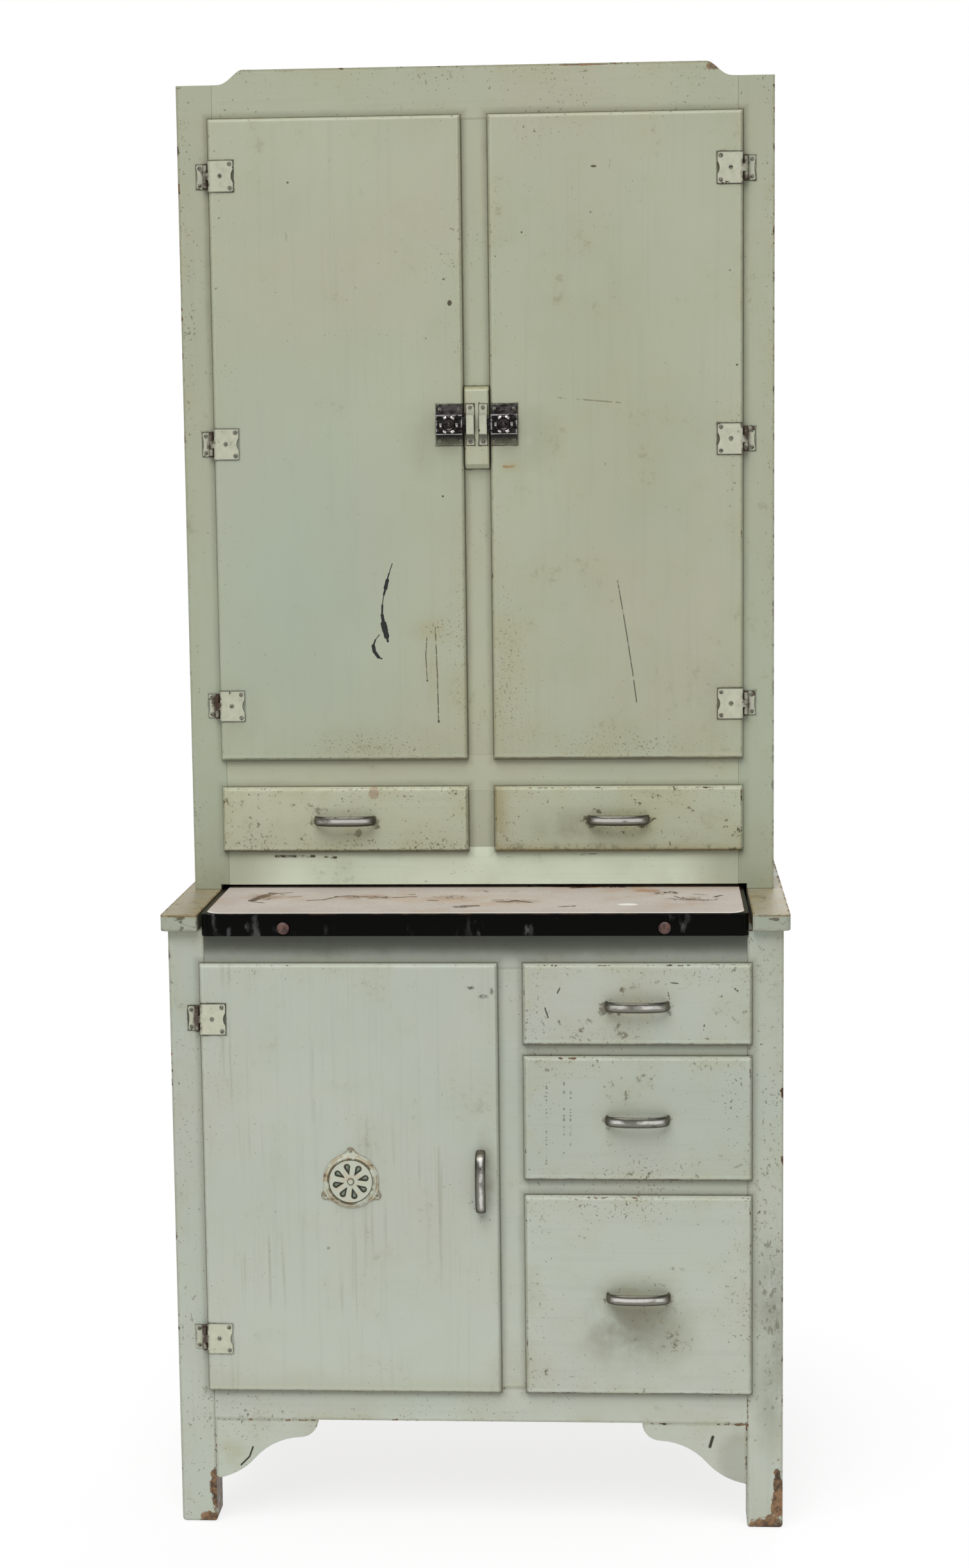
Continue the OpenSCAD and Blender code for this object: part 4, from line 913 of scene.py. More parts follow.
def right_door_marks(f, patch, fine):
    """A long scratch, an orange dash under the latch, and small dents."""
    grime, yellow = dirt_tones()
    f.lay(f.blot(0.19, 1.55, 0.17, 0.33) * 0.12, yellow)
    edge = f.blots((0.04, 1.17, 0.07, 0.26), (0.2, 1.07, 0.22, 0.05))
    corner = f.blots((0.08, 1.5, 0.06), (0.34, 1.14, 0.05, 0.08))
    door_edges(f, patch, edge, corner, edge * 0.12, 0.62, shade(grime, 0.6))
    long_scratch = f.stroke([(0.195, 1.302), (0.203, 1.255), (0.209, 1.217), (0.216, 1.17), (0.221, 1.131)],
                            0.0013)
    f.lay(long_scratch * fine.between(0.34, 0.46) * 0.9, srgb(66, 68, 56))
    hatch = f.strokes(([(0.113, 1.557), (0.2, 1.549)], 0.0016), ([(0.262, 1.603), (0.272, 1.594)], 0.0014))
    f.lay(hatch * fine.between(0.45, 0.55) * 0.6, grime)
    f.lay(f.blot(0.046, 1.462, 0.022, 0.012) * 0.5, yellow)
    dash = f.stroke([(0.037, 1.4625), (0.045, 1.4615), (0.054, 1.4635)], 0.0026)
    f.lay(dash * fine.between(0.4, 0.55) * 0.8, srgb(150, 112, 62))
    dots = f.blots((0.018, 1.31, 0.005, 0.009), (0.065, 1.784, 0.003), (0.362, 1.599, 0.003),
                   (0.165, 1.872, 0.008, 0.003))
    f.lay((dots + (fine - 0.5) * 0.8).between(0.35, 0.6) * 0.9, shade(grime, 0.4))


def lower_door_marks(f, patch, fine):
    """Faint streaks down the lower door, specks, and grime at its foot and round its pull."""
    grime, yellow = dirt_tones()
    streaks = f.noise(110, 3, vector=f.stretched(1, 0, 0.03))
    broken = f.noise(9, 3).between(0.4, 0.65)
    f.lay(streaks.between(0.54, 0.72) * broken * 0.36, srgb(128, 128, 104))
    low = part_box("lower_door")[0].z
    f.lay((f.z + (patch - 0.5) * 0.1).between(low + 0.04, low) * 0.25, yellow)
    dots = f.blots((-0.005, 0.763, 0.008, 0.004), (0.012, 0.751, 0.01, 0.004), (-0.205, 0.399, 0.0035),
                   (0.024, 0.758, 0.004, 0.007))
    f.lay(f.blot(0.012, 0.5, 0.02, 0.09) * patch.between(0.3, 0.6) * 0.6, grime)
    f.lay(dots * fine.between(0.35, 0.5), shade(grime, 0.4))


def pull_grime(node, strength, smear=None, chips=()):
    """Marks of one drawer: dirt round the feet of its pull, and its own smear and chips.

    The smear is an X, a Z, half a width, half a height and an amount, and the chips are strokes.
    """
    def marks(f, patch, fine):
        grime, yellow = dirt_tones()
        low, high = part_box(node)
        middle = (low + high) / 2
        around = f.blot(middle.x, middle.z - 0.004, 0.085, 0.04)
        f.lay(around * patch.between(0.3, 0.6) * 0.4 * strength, yellow)
        feet = f.blots((low.x + 0.004, middle.z - 0.004, 0.02, 0.017),
                       (high.x - 0.004, middle.z - 0.004, 0.018, 0.016))
        feet = (feet + (fine - 0.5) * 4 + (patch - 0.5) * 2).between(0.55, 1.0)
        f.lay(feet * strength * 0.7, shade(grime, 0.5))
        pepper = (f.noise(320, 4, rough=0.6) + around * 0.1 * strength).between(0.69, 0.74)
        f.lay(pepper * 0.6, shade(grime, 0.5))
        if smear:
            x, z, wide, tall, amount = smear
            spread = f.blot(x, z, wide, tall) * patch.between(0.25, 0.6)
            f.lay(spread * amount, shade(grime, 0.75))
        for points, width in chips:
            mark = (f.stroke(points, width) + (fine - 0.5) * 2.4).between(0.75, 1.0) * 0.85
            f.lay(mark, shade(grime, 0.35))
    return marks


def left_drawer_marks(f, patch, fine):
    """Grime round the pull and a pinkish worn patch over it."""
    grime = settings("cabinet_paint").grime
    pull_grime("upper_left_pull", 0.9)(f, patch, fine)
    smudge = f.blots((-0.233, 0.977, 0.03, 0.016), (-0.175, 0.946, 0.012, 0.01))
    smudge = (smudge + (fine - 0.5) * 5 + (patch - 0.5) * 3).between(0.7, 1.2)
    f.lay(smudge * 0.6, shade(grime, 0.7))
    worn = (f.blot(-0.154, 1.003, 0.014, 0.017) + (fine - 0.5) * 1.6 + (patch - 0.5)).between(0.35, 0.6)
    f.lay(worn * 0.6, srgb(150, 124, 102))


def right_drawer_marks(f, patch, fine):
    """Heavy yellow and rusty grime, most of it at the left and along the foot."""
    grime, yellow = dirt_tones()
    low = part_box("upper_right_drawer")[0]
    foot = (f.z + (patch - 0.5) * 0.03).between(low.z + 0.016, low.z)
    side = (f.x + (patch - 0.5) * 0.04).between(low.x + 0.03, low.x)
    f.lay(foot.most(side) * patch.between(0.25, 0.55) * 0.6, srgb(140, 124, 76))
    pull_grime("upper_right_pull", 1.3, (0.13, 0.955, 0.09, 0.035, 0.45))(f, patch, fine)
    smears = f.noise(11, 5, vector=f.stretched(0.5, 1, 1), rough=0.7).between(0.5, 0.66)
    f.lay(smears * fine.between(0.3, 0.6) * 0.25, srgb(132, 122, 84))
    spots = f.blots((0.165, 0.977, 0.02, 0.012), (0.226, 0.958, 0.014, 0.01), (0.026, 0.917, 0.014, 0.006),
                    (0.362, 0.921, 0.016, 0.006))
    spots = (spots + (fine - 0.5) * 5 + (patch - 0.5) * 3).between(0.7, 1.2)
    f.lay(spots * 0.75, shade(grime, 0.5))
    f.lay(foot * fine.between(0.5, 0.62) * 0.6, shade(yellow, 0.35))


def dotted_runs(f, patch, fine):
    """Rows of small dots that ran down the middle drawer."""
    pull_grime("middle_drawer_pull", 0.8)(f, patch, fine)
    beads = f.noise(1, 1, vector=f.stretched(30, 0, 230)).between(0.5, 0.57)
    rows = f.strokes(([(0.097, 0.627), (0.096, 0.516)], 0.0017), ([(0.121, 0.632), (0.12, 0.534)], 0.002),
                     ([(0.13, 0.623), (0.129, 0.543)], 0.0018))
    f.lay(rows * beads * fine.between(0.35, 0.55) * 0.75, srgb(80, 84, 66))


class CABINET_OT_doors(bpy.types.Operator):
    """Dresses the two upper doors and the lower door"""
    bl_idname = "cabinet.doors"
    bl_label = "Doors"

    def execute(self, context):
        paint = settings("cabinet_paint")
        upper, lower = paint.upper, paint.lower
        left = leaf_boxes("upper_left_hinge_leaves") + [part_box("left_latch_case")]
        right = leaf_boxes("upper_right_hinge_leaves") + [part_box("right_latch_case")]
        doors = {
            "upper_left_door": dict(name="paint_left_door", tone=upper, dirt=0.8, fittings=left,
                                    extra=left_door_marks),
            "upper_right_door": dict(name="paint_right_door", tone=shade(upper, 0.985), dirt=0.9,
                                     fittings=right, extra=right_door_marks),
            "lower_door": dict(name="paint_lower_door", tone=shade(lower, 1.01), wear=0.5, dirt=0.7,
                               fittings=leaf_boxes("lower_hinge_leaves"), extra=lower_door_marks),
        }
        for node, paint_job in doors.items():
            dress(node, painted(face_only=True, lip_light_and_shade=True, **paint_job), BOARD_ROUND)
        return {"FINISHED"}


class CABINET_OT_drawers(bpy.types.Operator):
    """Dresses the five drawers, with painted fronts and bare boxes"""
    bl_idname = "cabinet.drawers"
    bl_label = "Drawers"

    def execute(self, context):
        paint = settings("cabinet_paint")
        upper, lower = paint.upper, paint.lower
        boxwood = bare_wood("wood_drawer_boxes", shade(paint.wood, 1.05), (1, 0.05, 1))
        chips = [([(0.113, 0.756), (0.119, 0.768)], 0.0022), ([(0.266, 0.77), (0.276, 0.769)], 0.002),
                 ([(0.352, 0.762), (0.358, 0.757)], 0.003), ([(0.31, 0.705), (0.311, 0.712)], 0.0024),
                 ([(0.096, 0.735), (0.1, 0.722)], 0.0022), ([(0.262, 0.757), (0.264, 0.748)], 0.0024)]
        smear = (0.212, 0.292, 0.12, 0.09, 0.6)
        drawers = {
            "upper_left_drawer": dict(name="paint_left_small_drawer", tone=shade(upper, 1.12), dirt=1.7,
                                      extra=left_drawer_marks),
            "upper_right_drawer": dict(name="paint_right_small_drawer", tone=shade(upper, 1.05), dirt=1.5,
                                       wear=1.4, extra=right_drawer_marks),
            "top_drawer": dict(name="paint_high_drawer", tone=shade(lower, 0.985), dirt=1.25, wear=1.2,
                               extra=pull_grime("top_drawer_pull", 1.0, chips=chips)),
            "middle_drawer": dict(name="paint_mid_drawer", tone=shade(lower, 0.965), dirt=1.25,
                                  extra=dotted_runs),
            "bottom_drawer": dict(name="paint_low_drawer", tone=shade(lower, 0.985), dirt=1.2, wear=1.2,
                                  extra=pull_grime("bottom_drawer_pull", 0.9, smear)),
        }
        for node, paint_job in drawers.items():
            piece = dress(node, painted(brush=(0.03, 1, 1), lip_light_and_shade=True, **paint_job), BOARD_ROUND)
            piece.data.materials.append(boxwood)
            # The box behind the painted front is bare
            fronts, near_face = set(), 0.004
            face_y = min(vertex.co.y for vertex in piece.data.vertices)
            for group in islands(piece.data):
                if corners(piece.data, group)[0].y < face_y + near_face:
                    fronts.update(group)
            for face in piece.data.polygons:
                if face.vertices[0] not in fronts:
                    face.material_index = 1
        return {"FINISHED"}


# ---- Worktop ----

def enamel_finish():
    """White enamel with a black rim, stains, scratches and scuffs."""
    top = settings("cabinet_top")
    white, black = top.enamel, top.band
    rust, tan = srgb(120, 84, 52), srgb(176, 140, 108)
    low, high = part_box("enamel_sheet")
    f = Finish("enamel")
    cloud = f.noise(7, 4)
    patch = f.noise(26, 5, rough=0.65)
    fine = f.noise(190, 4)

    def flat_blot(x, y, wide, deep):
        spot = f.vector("SUBTRACT", f.place, (x, y, 0.0))
        spot = f.vector("MULTIPLY", spot, (1 / wide, 1 / deep, 0.0))
        return f.length(spot).between(1.0, 0.0)

    f.colour = f.mix(cloud.between(0.35, 0.65), white, shade(white, 0.9))
    f.lay((patch * cloud).between(0.26, 0.44) * 0.35, tan)
    warm = greatest([flat_blot(-0.05, -0.14, 0.2, 0.07), flat_blot(0.18, -0.03, 0.3, 0.06),
                     flat_blot(0.03, -0.17, 0.09, 0.05)])
    f.lay(warm * patch.between(0.34, 0.62) * 0.5, srgb(170, 138, 104))
    tracks = greatest([flat_blot(x, y, wide, deep) * amount for x, y, wide, deep, amount in (
        (-0.3, -0.11, 0.035, 0.05, 1), (0.165, -0.03, 0.075, 0.028, 1), (-0.16, -0.125, 0.055, 0.028, 1),
        (-0.04, -0.125, 0.04, 0.022, 1), (0.055, -0.16, 0.045, 0.022, 1), (0.26, -0.09, 0.03, 0.025, 0.8),
        (0.3, -0.14, 0.06, 0.03, 0.7), (-0.02, -0.2, 0.02, 0.02, 1), (0.02, -0.07, 0.06, 0.02, 0.6))])
    wander = f.noise(15, 4, vector=f.stretched(1, 0.6, 1), warp=1.6)
    line = abs(wander - 0.5).between(0.022, 0.006) * fine.between(0.3, 0.5)
    f.lay(tracks * patch.between(0.4, 0.58) * 0.8, rust)
    f.lay(line * tracks.between(0.1, 0.4) * 0.9, shade(rust, 0.25))
    curl = f.strokes(
        ([(-0.316, -0.15), (-0.308, -0.115), (-0.297, -0.088)], 0.011),
        ([(-0.306, -0.13), (-0.288, -0.088), (-0.27, -0.08)], 0.005),
        ([(-0.313, -0.16), (-0.298, -0.168)], 0.005), ([(-0.268, -0.12), (-0.252, -0.118)], 0.004),
        ([(0.272, -0.115), (0.285, -0.14), (0.3, -0.152), (0.33, -0.148)], 0.004),
        ([(0.3, -0.1), (0.318, -0.108)], 0.004), ([(0.328, -0.125), (0.338, -0.11)], 0.005),
        ([(-0.235, -0.15), (-0.213, -0.14), (-0.2, -0.118), (-0.18, -0.11)], 0.006),
        ([(-0.18, -0.112), (-0.158, -0.118)], 0.003), ([(-0.12, -0.125), (-0.09, -0.12)], 0.005),
        ([(-0.068, -0.15), (-0.058, -0.15)], 0.006), ([(-0.1, -0.1), (-0.093, -0.1)], 0.005),
        ([(0.08, -0.02), (0.105, -0.034), (0.14, -0.028)], 0.009),
        ([(0.13, -0.045), (0.165, -0.032), (0.2, -0.036)], 0.01), ([(-0.02, -0.2), (0.0, -0.196)], 0.011),
        ([(0.075, -0.17), (0.052, -0.152), (0.03, -0.165)], 0.006), ([(0.045, -0.14), (0.02, -0.15)], 0.004),
        ([(0.118, -0.203), (0.134, -0.198)], 0.009), waver=f.top_place(45, 0.008))
    curl = (curl + (patch - 0.5) * 1.6 + (fine - 0.5) * 1.4).between(0.6, 0.9)
    crust = f.mix(cloud.between(0.42, 0.58), shade(rust, 0.22), shade(rust, 0.6))
    f.lay(curl * 0.9, crust)
    leaf = flat_blot(0.238, -0.072, 0.032, 0.024).most(flat_blot(0.165, -0.034, 0.06, 0.022) * 0.7)
    f.lay((leaf + (patch - 0.5) * 1.2).between(0.3, 0.6) * 0.6, srgb(150, 98, 58))
    dots = f.specks(30, 0.3, 0.14)
    f.lay(dots, srgb(66, 56, 50))
    pits = (f.noise(170, 4, rough=0.6) + (cloud - 0.5) * 0.3).between(0.71, 0.75)
    f.lay(pits * 0.7, srgb(112, 92, 76))
    f.lay(flat_blot(0.208, -0.186, 0.022, 0.012).between(0.2, 0.5), srgb(236, 234, 232))
    # The white field is a rectangle with round front corners
    radius = top.band_r
    across = abs(f.x) - (high.x - top.band_w - radius)
    along = (low.y + 0.004 + radius) - f.y
    corner = f.length(f.xyz(across.most(0.0), along.most(0.0)))
    field = across.most(along).least(0.0) + corner - radius
    # A painted highlight along the rounded front edge of the white field
    f.lay(field.between(-0.007, -0.0035) * (f.y - low.y).between(0.03, 0.015) * 0.85, srgb(226, 224, 220))
    rim = (field + (cloud - 0.5) * 0.001).between(-0.0003, 0.0004)
    rim = rim.most(f.z.between(high.z - 0.0018, high.z - 0.0026))
    scuff = (f.noise(60, 5, vector=f.stretched(1, 1, 0.35)) + fine * 0.1).between(0.6, 0.72)
    rubbed = [(x, 0.843, 0.009, 0.02) for x in (-0.029, 0.006, 0.074, 0.114, 0.28)]
    where = f.blots((-0.096, 0.842, 0.02), *rubbed)
    scuff = scuff * where.most(f.noise(9, 2).between(0.56, 0.7) * 0.6)
    dark = f.mix(scuff * 0.42, black, srgb(132, 130, 130))
    dark = f.mix(field.between(0.004, 0.0) * patch.between(0.45, 0.6) * 0.8, dark, shade(rust, 0.5))
    f.lay(rim, dark)
    rough = rim * (scuff * 0.3 - 0.02) + patch * 0.16 + 0.2
    return f.finish(rough, patch * 0.4 + fine * 0.2 - dots * 0.5, depth=0.0002, specular=0.04)


class CABINET_OT_worktop(bpy.types.Operator):
    """Enamels the sliding top and dresses its two buttons"""
    bl_idname = "cabinet.worktop"
    bl_label = "Sliding top"

    def execute(self, context):
        dress("enamel_sheet", enamel_finish(), 0.0003, angle=50)
        f = Finish("old_buttons")
        blotch = f.noise(160, 5, rough=0.7)
        f.colour = f.mix(blotch.between(0.35, 0.65), srgb(48, 30, 26), srgb(102, 70, 62))
        f.lay(f.noise(520, 3).between(0.55, 0.7) * 0.6, srgb(24, 18, 16))
        dress("pull_buttons", f.finish(blotch * 0.3 + 0.35, blotch, depth=0.0006), 0.0004)
        return {"FINISHED"}


# ---- Hinges, latches, vent and pulls ----

# How far the vent's three ears stand from its middle, and their angles in degrees
EAR_REACH = 0.041
EAR_TURNS = (90, 210, 330)


class CABINET_OT_hinges(bpy.types.Operator):
    """Dresses the hinge leaves and their pins"""
    bl_idname = "cabinet.hinges"
    bl_label = "Hinges"

    def execute(self, context):
        tone = settings("cabinet_paint").fitting
        # Screws of a leaf from its middle: those in its two ears, and one nearer the pin
        leaf_screws = [(0.0167, 0.0164), (0.003, 0.0)]
        # The lowest hinge of the left door has rusted through its paint
        low, high = min(leaf_boxes("upper_left_hinge_leaves"), key=lambda leaf: leaf[0].z)
        rusted = (low.x + 0.001, (low.z + high.z) / 2 + 0.004, 0.013, 0.02)
        for node in ("upper_left_hinge_leaves", "upper_right_hinge_leaves", "lower_hinge_leaves"):
            side = "right" if "right" in node else "left"
            leaf = painted_metal("paint_" + node, tone, 0.3, side, leaf_screws,
                                 joint=(-0.0095, -0.0145), rusted=rusted)
            dress(node, leaf, 0.0005)
        frame_leaf = painted_metal("paint_frame_leaves", shade(tone, 0.94), 0.6, "frame",
                                   [(0.0038, 0.012)], joint=(0.003, -0.0015), rusted=rusted)
        dress("hinge_frame_leaves", frame_leaf, 0.0005)
        pin = worn_metal("steel_pins", srgb(120, 108, 96), tarnish=0.9, rough=0.45)
        dress("hinge_pins", pin, 0.0003)
        dress("bullet_catch", pin, 0.0003)
        return {"FINISHED"}


def knob_mesh(node):
    """A latch knob: scalloped ring round a dished middle, on its spindle and cam."""
    metal = settings("cabinet_metal")
    low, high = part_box(node)
    middle = (low + high) / 2
    radius, depth = (high.x - low.x) / 2, high.y - low.y
    axis = Vector((middle.x, low.y, middle.z))
    # Radius, depth behind the face (both as shares of the knob's radius) and how scalloped it is there
    rows = [(0.03, 0.21, 0), (0.12, 0.2, 0), (0.19, 0.27, 0), (0.22, 0.31, 0), (0.34, 0.3, 0),
            (0.5, 0.26, 0.15), (0.62, 0.16, 0.5), (0.7, 0.05, 0.8), (0.78, 0.0, 1), (0.86, 0.02, 1),
            (0.95, 0.09, 1), (1.0, 0.2, 0.9), (1.0, 0.32, 0.8), (0.94, 0.42, 0.5), (0.6, 0.5, 0),
            (0.42, 0.58, 0), (0.375, 0.66, 0), (0.375, 0.86, 0), (0.226, 0.86, 0), (0.226, 1.4, 0)]
    count = metal.facets * 12
    rings = []
    for share_r, share_d, scallop in rows:
        ring = []
        for j in range(count):
            turn = 2 * math.pi * j / count
            hollow = (0.5 - 0.5 * math.cos(metal.facets * turn)) ** 2
            reach = radius * share_r * (1 - 0.075 * scallop * hollow)
            drop = radius * (share_d + 0.05 * scallop * hollow)
            ring.append(axis + Vector((reach * math.cos(turn), min(drop, depth), reach * math.sin(turn))))
        rings.append(ring)
    mesh = swept(rings)
    # Cam that draws the bolt
    cam_wide, cam_place, cam_high = 0.0032, 0.0152, 0.0077
    shape = bmesh.new()
    shape.from_mesh(mesh)
    for vertex in bmesh.ops.create_cube(shape, size=1)["verts"]:
        x, y, z = vertex.co
        deep = cam_place + y * 2 * (depth - cam_place)
        vertex.co = axis + Vector((x * cam_wide, deep, (z + 0.5) * cam_high))
    shape.to_mesh(mesh)
    shape.free()
    return mesh


def knob_finish(node):
    """Chrome painted black, with painted highlights on the facets of the ring and black between them, a
    lighter painted reflection in the middle, and dull patches of tarnish.
    """
    metal = settings("cabinet_metal")
    chrome, rust = metal.chrome, metal.rust
    low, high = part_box(node)
    radius = (high.x - low.x) / 2
    f = Finish("chrome_knobs")
    blotch = f.noise(260, 4, rough=0.65)
    x, _, z = f.within()
    away = f.length(f.xyz(x, 0.0, z)) * (1 / radius)
    turn = f.maths("ARCTAN2", z, x) * metal.facets
    # Painted highlights on the facets of the ring
    uneven = (f.noise(110, 2) - 0.5) * 3.2
    facet = (f.maths("COSINE", turn) + (blotch - 0.5) * 1.4 + uneven).between(0.0, 0.35)
    ring = away.between(0.68, 0.76) * away.between(1.0, 0.95)
    f.colour = f.mix(ring * facet, shade(chrome, 0.12), shade(chrome, 2.3))
    # A lighter painted reflection in the middle
    f.lay(away.between(0.22, 0.1) * 0.6, shade(chrome, 0.45))
    dull = blotch.between(0.45, 0.6) * away.between(0.64, 0.56)
    f.lay(dull * 0.7, shade(rust, 0.5))
    return f.finish(dull * 0.3 + 0.16, blotch, depth=0.0001, metallic=1 - dull * 0.6)


def block_marks(f, patch, fine):
    """Yellowed, rubbed top edge and dark sides of the block between the latches."""
    paint = settings("cabinet_paint")
    low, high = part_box("strike_block")
    top = (f.z + (patch - 0.5) * 0.004).between(high.z - 0.005, high.z - 0.002)
    f.lay(top * fine.between(0.3, 0.5) * 0.85, shade(paint.yellow, 0.75))
    middle, half = (low.x + high.x) / 2, (high.x - low.x) / 2
    side = abs(f.x - middle).between(half - 0.0016, half)
    f.lay(side * 0.7, shade(paint.grime, 0.45))


def case_finish(node):
    """Chrome with painted reflections: a dark raised middle banded lighter, with painted glints along its
    edges, and duller flanges over and under it, the lower one painted in shadow at its top and lighter below,
    with painted highlights along the case's top and bottom edges.
    """
    chrome = settings("cabinet_metal").chrome
    low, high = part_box(node)
    tall, wide = (high.z - low.z) / 2, (high.x - low.x) / 2
    # Half the height of the raised middle
    raised = 0.013
    f = Finish("chrome_cases")
    blotch = f.noise(130, 5, rough=0.65, vector=f.stretched(1, 1, 1.8))
    fine = f.noise(420, 4)
    x, _, z = f.within()
    # Painted reflections in dark and lighter bands
    f.colour = f.mix(blotch.between(0.4, 0.62), shade(chrome, 0.6), shade(chrome, 0.12))
    # The flange under the raised middle: painted shadow at its top, and a painted greenish reflection lower
    # down
    under = z.between(-raised + 0.001, -raised - 0.001)
    down = z.between(-raised - 0.001, -tall + 0.002) + (blotch - 0.5)
    f.lay(under, f.mix(down, shade(chrome, 0.05), srgb(112, 112, 92)))
    # Painted reflections in bands on the raised middle
    middle = f.mix(blotch.between(0.46, 0.66) * 0.8, shade(chrome, 0.1), shade(chrome, 0.42))
    f.lay(abs(z).between(raised + 0.0003, raised - 0.0003), middle)
    # Painted highlights along the top and bottom edges and the ends of the raised middle
    glints = abs(z - raised).between(0.0013, 0.0004) * blotch.between(0.4, 0.5)
    glints = glints.most(abs(z + raised).between(0.0009, 0.0003) * 0.75)
    sides = abs(z).between(raised, raised - 0.002) * abs(x).between(wide - 0.0022, wide - 0.001)
    glints = glints.most(sides * blotch.between(0.44, 0.56) * 0.8)
    f.lay(glints, srgb(226, 224, 222))
    # Painted highlights along the top and bottom edges of the case
    f.lay(abs(z).between(tall - 0.0016, tall - 0.0006) * blotch.between(0.62, 0.4) * 0.8, srgb(178, 180, 160))
    return f.finish(blotch * 0.25 + fine * 0.1 + 0.12, blotch + fine * 0.3, depth=0.00015,
                    metallic=1.0 - under * 0.6)


class CABINET_OT_latches(bpy.types.Operator):
    """Builds the latch knobs and dresses the cases, bolts, block and strikes"""
    bl_idname = "cabinet.latches"
    bl_label = "Latches"

    def execute(self, context):
        paint = settings("cabinet_paint")
        case, knob = case_finish("left_latch_case"), knob_finish("left_latch_knob")
        for side in ("left", "right"):
            dress(f"{side}_latch_case", case, 0.0006, segments=3)
            dress(f"{side}_latch_bolt", case, 0.0004)
            node = f"{side}_latch_knob"
            mesh = knob_mesh(node)
            note_boards(mesh)
            stand_in(f"{side}_knob_ring", mesh, knob, node)
        tone = paint.fitting
        # A shadow is painted under the raised middle of each strike
        plate = painted_metal("paint_strikes", shade(tone, 0.97), 0.2, "both", [(0.0, 0.0237)], under=0.013)
        dress("strikes", plate, 0.0007, segments=3)
        dress("strike_block", painted("paint_strike_block", shade(paint.upper, 1.08), dirt=1.2,
                                      extra=block_marks, fittings=leaf_boxes("strikes")), BOARD_ROUND)
        return {"FINISHED"}


def vent_finish():
    """Cream paint rubbed through to rust along the rings, with painted shade in dark lines round the slots
    and on the walls, and a floor under the slots with painted shade near their edges.
    """
    rust = settings("cabinet_metal").rust
    low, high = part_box("vent_shutter")
    middle, radius = (low + high) / 2, (high.x - low.x) / 2
    cream, brown = srgb(182, 186, 168), srgb(84, 74, 50)
    f = Finish("vent_paint")
    blotch = f.noise(70, 5, rough=0.66)
    fine = f.noise(300, 4)
    spot = f.vector("SUBTRACT", f.flat_place(), (middle.x, 0.0, middle.z))
    away = f.length(spot)
    f.colour = f.mix(blotch.between(0.5, 0.64) * 0.6, cream, srgb(186, 168, 142))
    zone = away.between(radius, radius + 0.002)
    f.lay(zone * blotch.between(0.38, 0.6) * 0.7, srgb(168, 148, 112))
    # Painted shade in dark lines round the teardrop slots of the shutter
    turn = f.maths("ARCTAN2", f.z - middle.z, f.x - middle.x) - math.radians(13)
    turn = f.maths("PINGPONG", turn, math.pi / 8)
    across, along = away * f.maths("SINE", turn), away * f.maths("COSINE", turn)
    slot_start, slot_long, slot_r = 0.0103, 0.0105, 0.0039
    share_of = ((along - slot_start) / slot_long).most(0.0).least(1.0)
    gap = f.length(f.xyz(along - slot_start - share_of * slot_long, across)) - share_of * slot_r
    lines = (gap + (fine - 0.5) * 0.0008).between(0.0012, 0.0004)
    f.lay(lines * 0.8, srgb(70, 70, 52))
    f.lay(abs(away - 0.004).between(0.0011, 0.0004) * 0.7, srgb(70, 70, 52))
    grooves = f.maths("PINGPONG", away, 0.0045).between(0.0012, 0.0002) * 0.45 * zone
    rings = abs(away - radius * 1.07).between(0.002, 0.0002).most(grooves)
    rings = rings.most((away - radius * 1.3).between(0.0, 0.0016) * 0.6)
    f.lay(rings * blotch.between(0.36, 0.52), brown)
    # Painted shade on the walls and sides
    f.lay(f.slope().between(0.05, 0.45) * fine.between(0.3, 0.45) * 0.9, shade(brown, 0.6))
    lost = (blotch + zone * 0.06).between(0.66, 0.7)
    f.lay(lost * 0.7, f.mix(fine, shade(rust, 0.5), shade(rust, 1.3)))
    # The plate under the slots, with painted shade near their edges
    floor = f.y.between(low.y + 0.0004, low.y + 0.0012) * away.between(radius, radius - 0.0008)
    inward = (gap + (blotch - 0.5) * 0.002).between(-0.0012, -0.0026)
    f.lay(floor, f.mix(inward, srgb(52, 56, 44), srgb(122, 130, 112)))
    return f.finish(blotch * 0.25 + 0.42, blotch * 0.6 + fine * 0.3 - lost, depth=0.0003)


class CABINET_OT_vent(bpy.types.Operator):
    """Dresses the vent plate and its turning shutter"""
    bl_idname = "cabinet.vent"
    bl_label = "Vent"

    def execute(self, context):
        finish = vent_finish()
        dress("vent_shutter", finish, 0.0004)
        plate = dress("vent_plate", finish, 0.0004)
        low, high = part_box("vent_shutter")
        middle, back = (low + high) / 2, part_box("vent_plate")[1].y
        # Flares that carry the three ears into the round plate, 0.9 to 1.3 mm thick
        ear_r = 0.0058
        turns = [math.radians(angle) for angle in range(-50, 51, 10)]
        tip = [(EAR_REACH + ear_r * math.cos(turn), ear_r * math.sin(turn)) for turn in turns]
        flank = [(0.0352, -0.0142), (0.0368, -0.0118), (0.0392, -0.0084), (0.042, -0.0058)]
        outline = flank + tip + [(u, -v) for u, v in reversed(flank)]
        shape = bmesh.new()
        shape.from_mesh(plate.data)
        for turn in map(math.radians, EAR_TURNS):
            out = Vector((math.cos(turn), 0, math.sin(turn)))
            side = Vector((-out.z, 0, out.x))
            skin(shape, [[Vector((middle.x, y, middle.z)) + (out * u + side * v) * size for u, v in outline]
                         for y, size in ((back, 1.0), (back - 0.0009, 1.0), (back - 0.0013, 0.988))])
        bmesh.ops.recalc_face_normals(shape, faces=shape.faces)
        shape.to_mesh(plate.data)
        shape.free()
        return {"FINISHED"}


PULLS = ("lower_door_pull", "upper_left_pull", "upper_right_pull", "top_drawer_pull",
         "middle_drawer_pull", "bottom_drawer_pull")


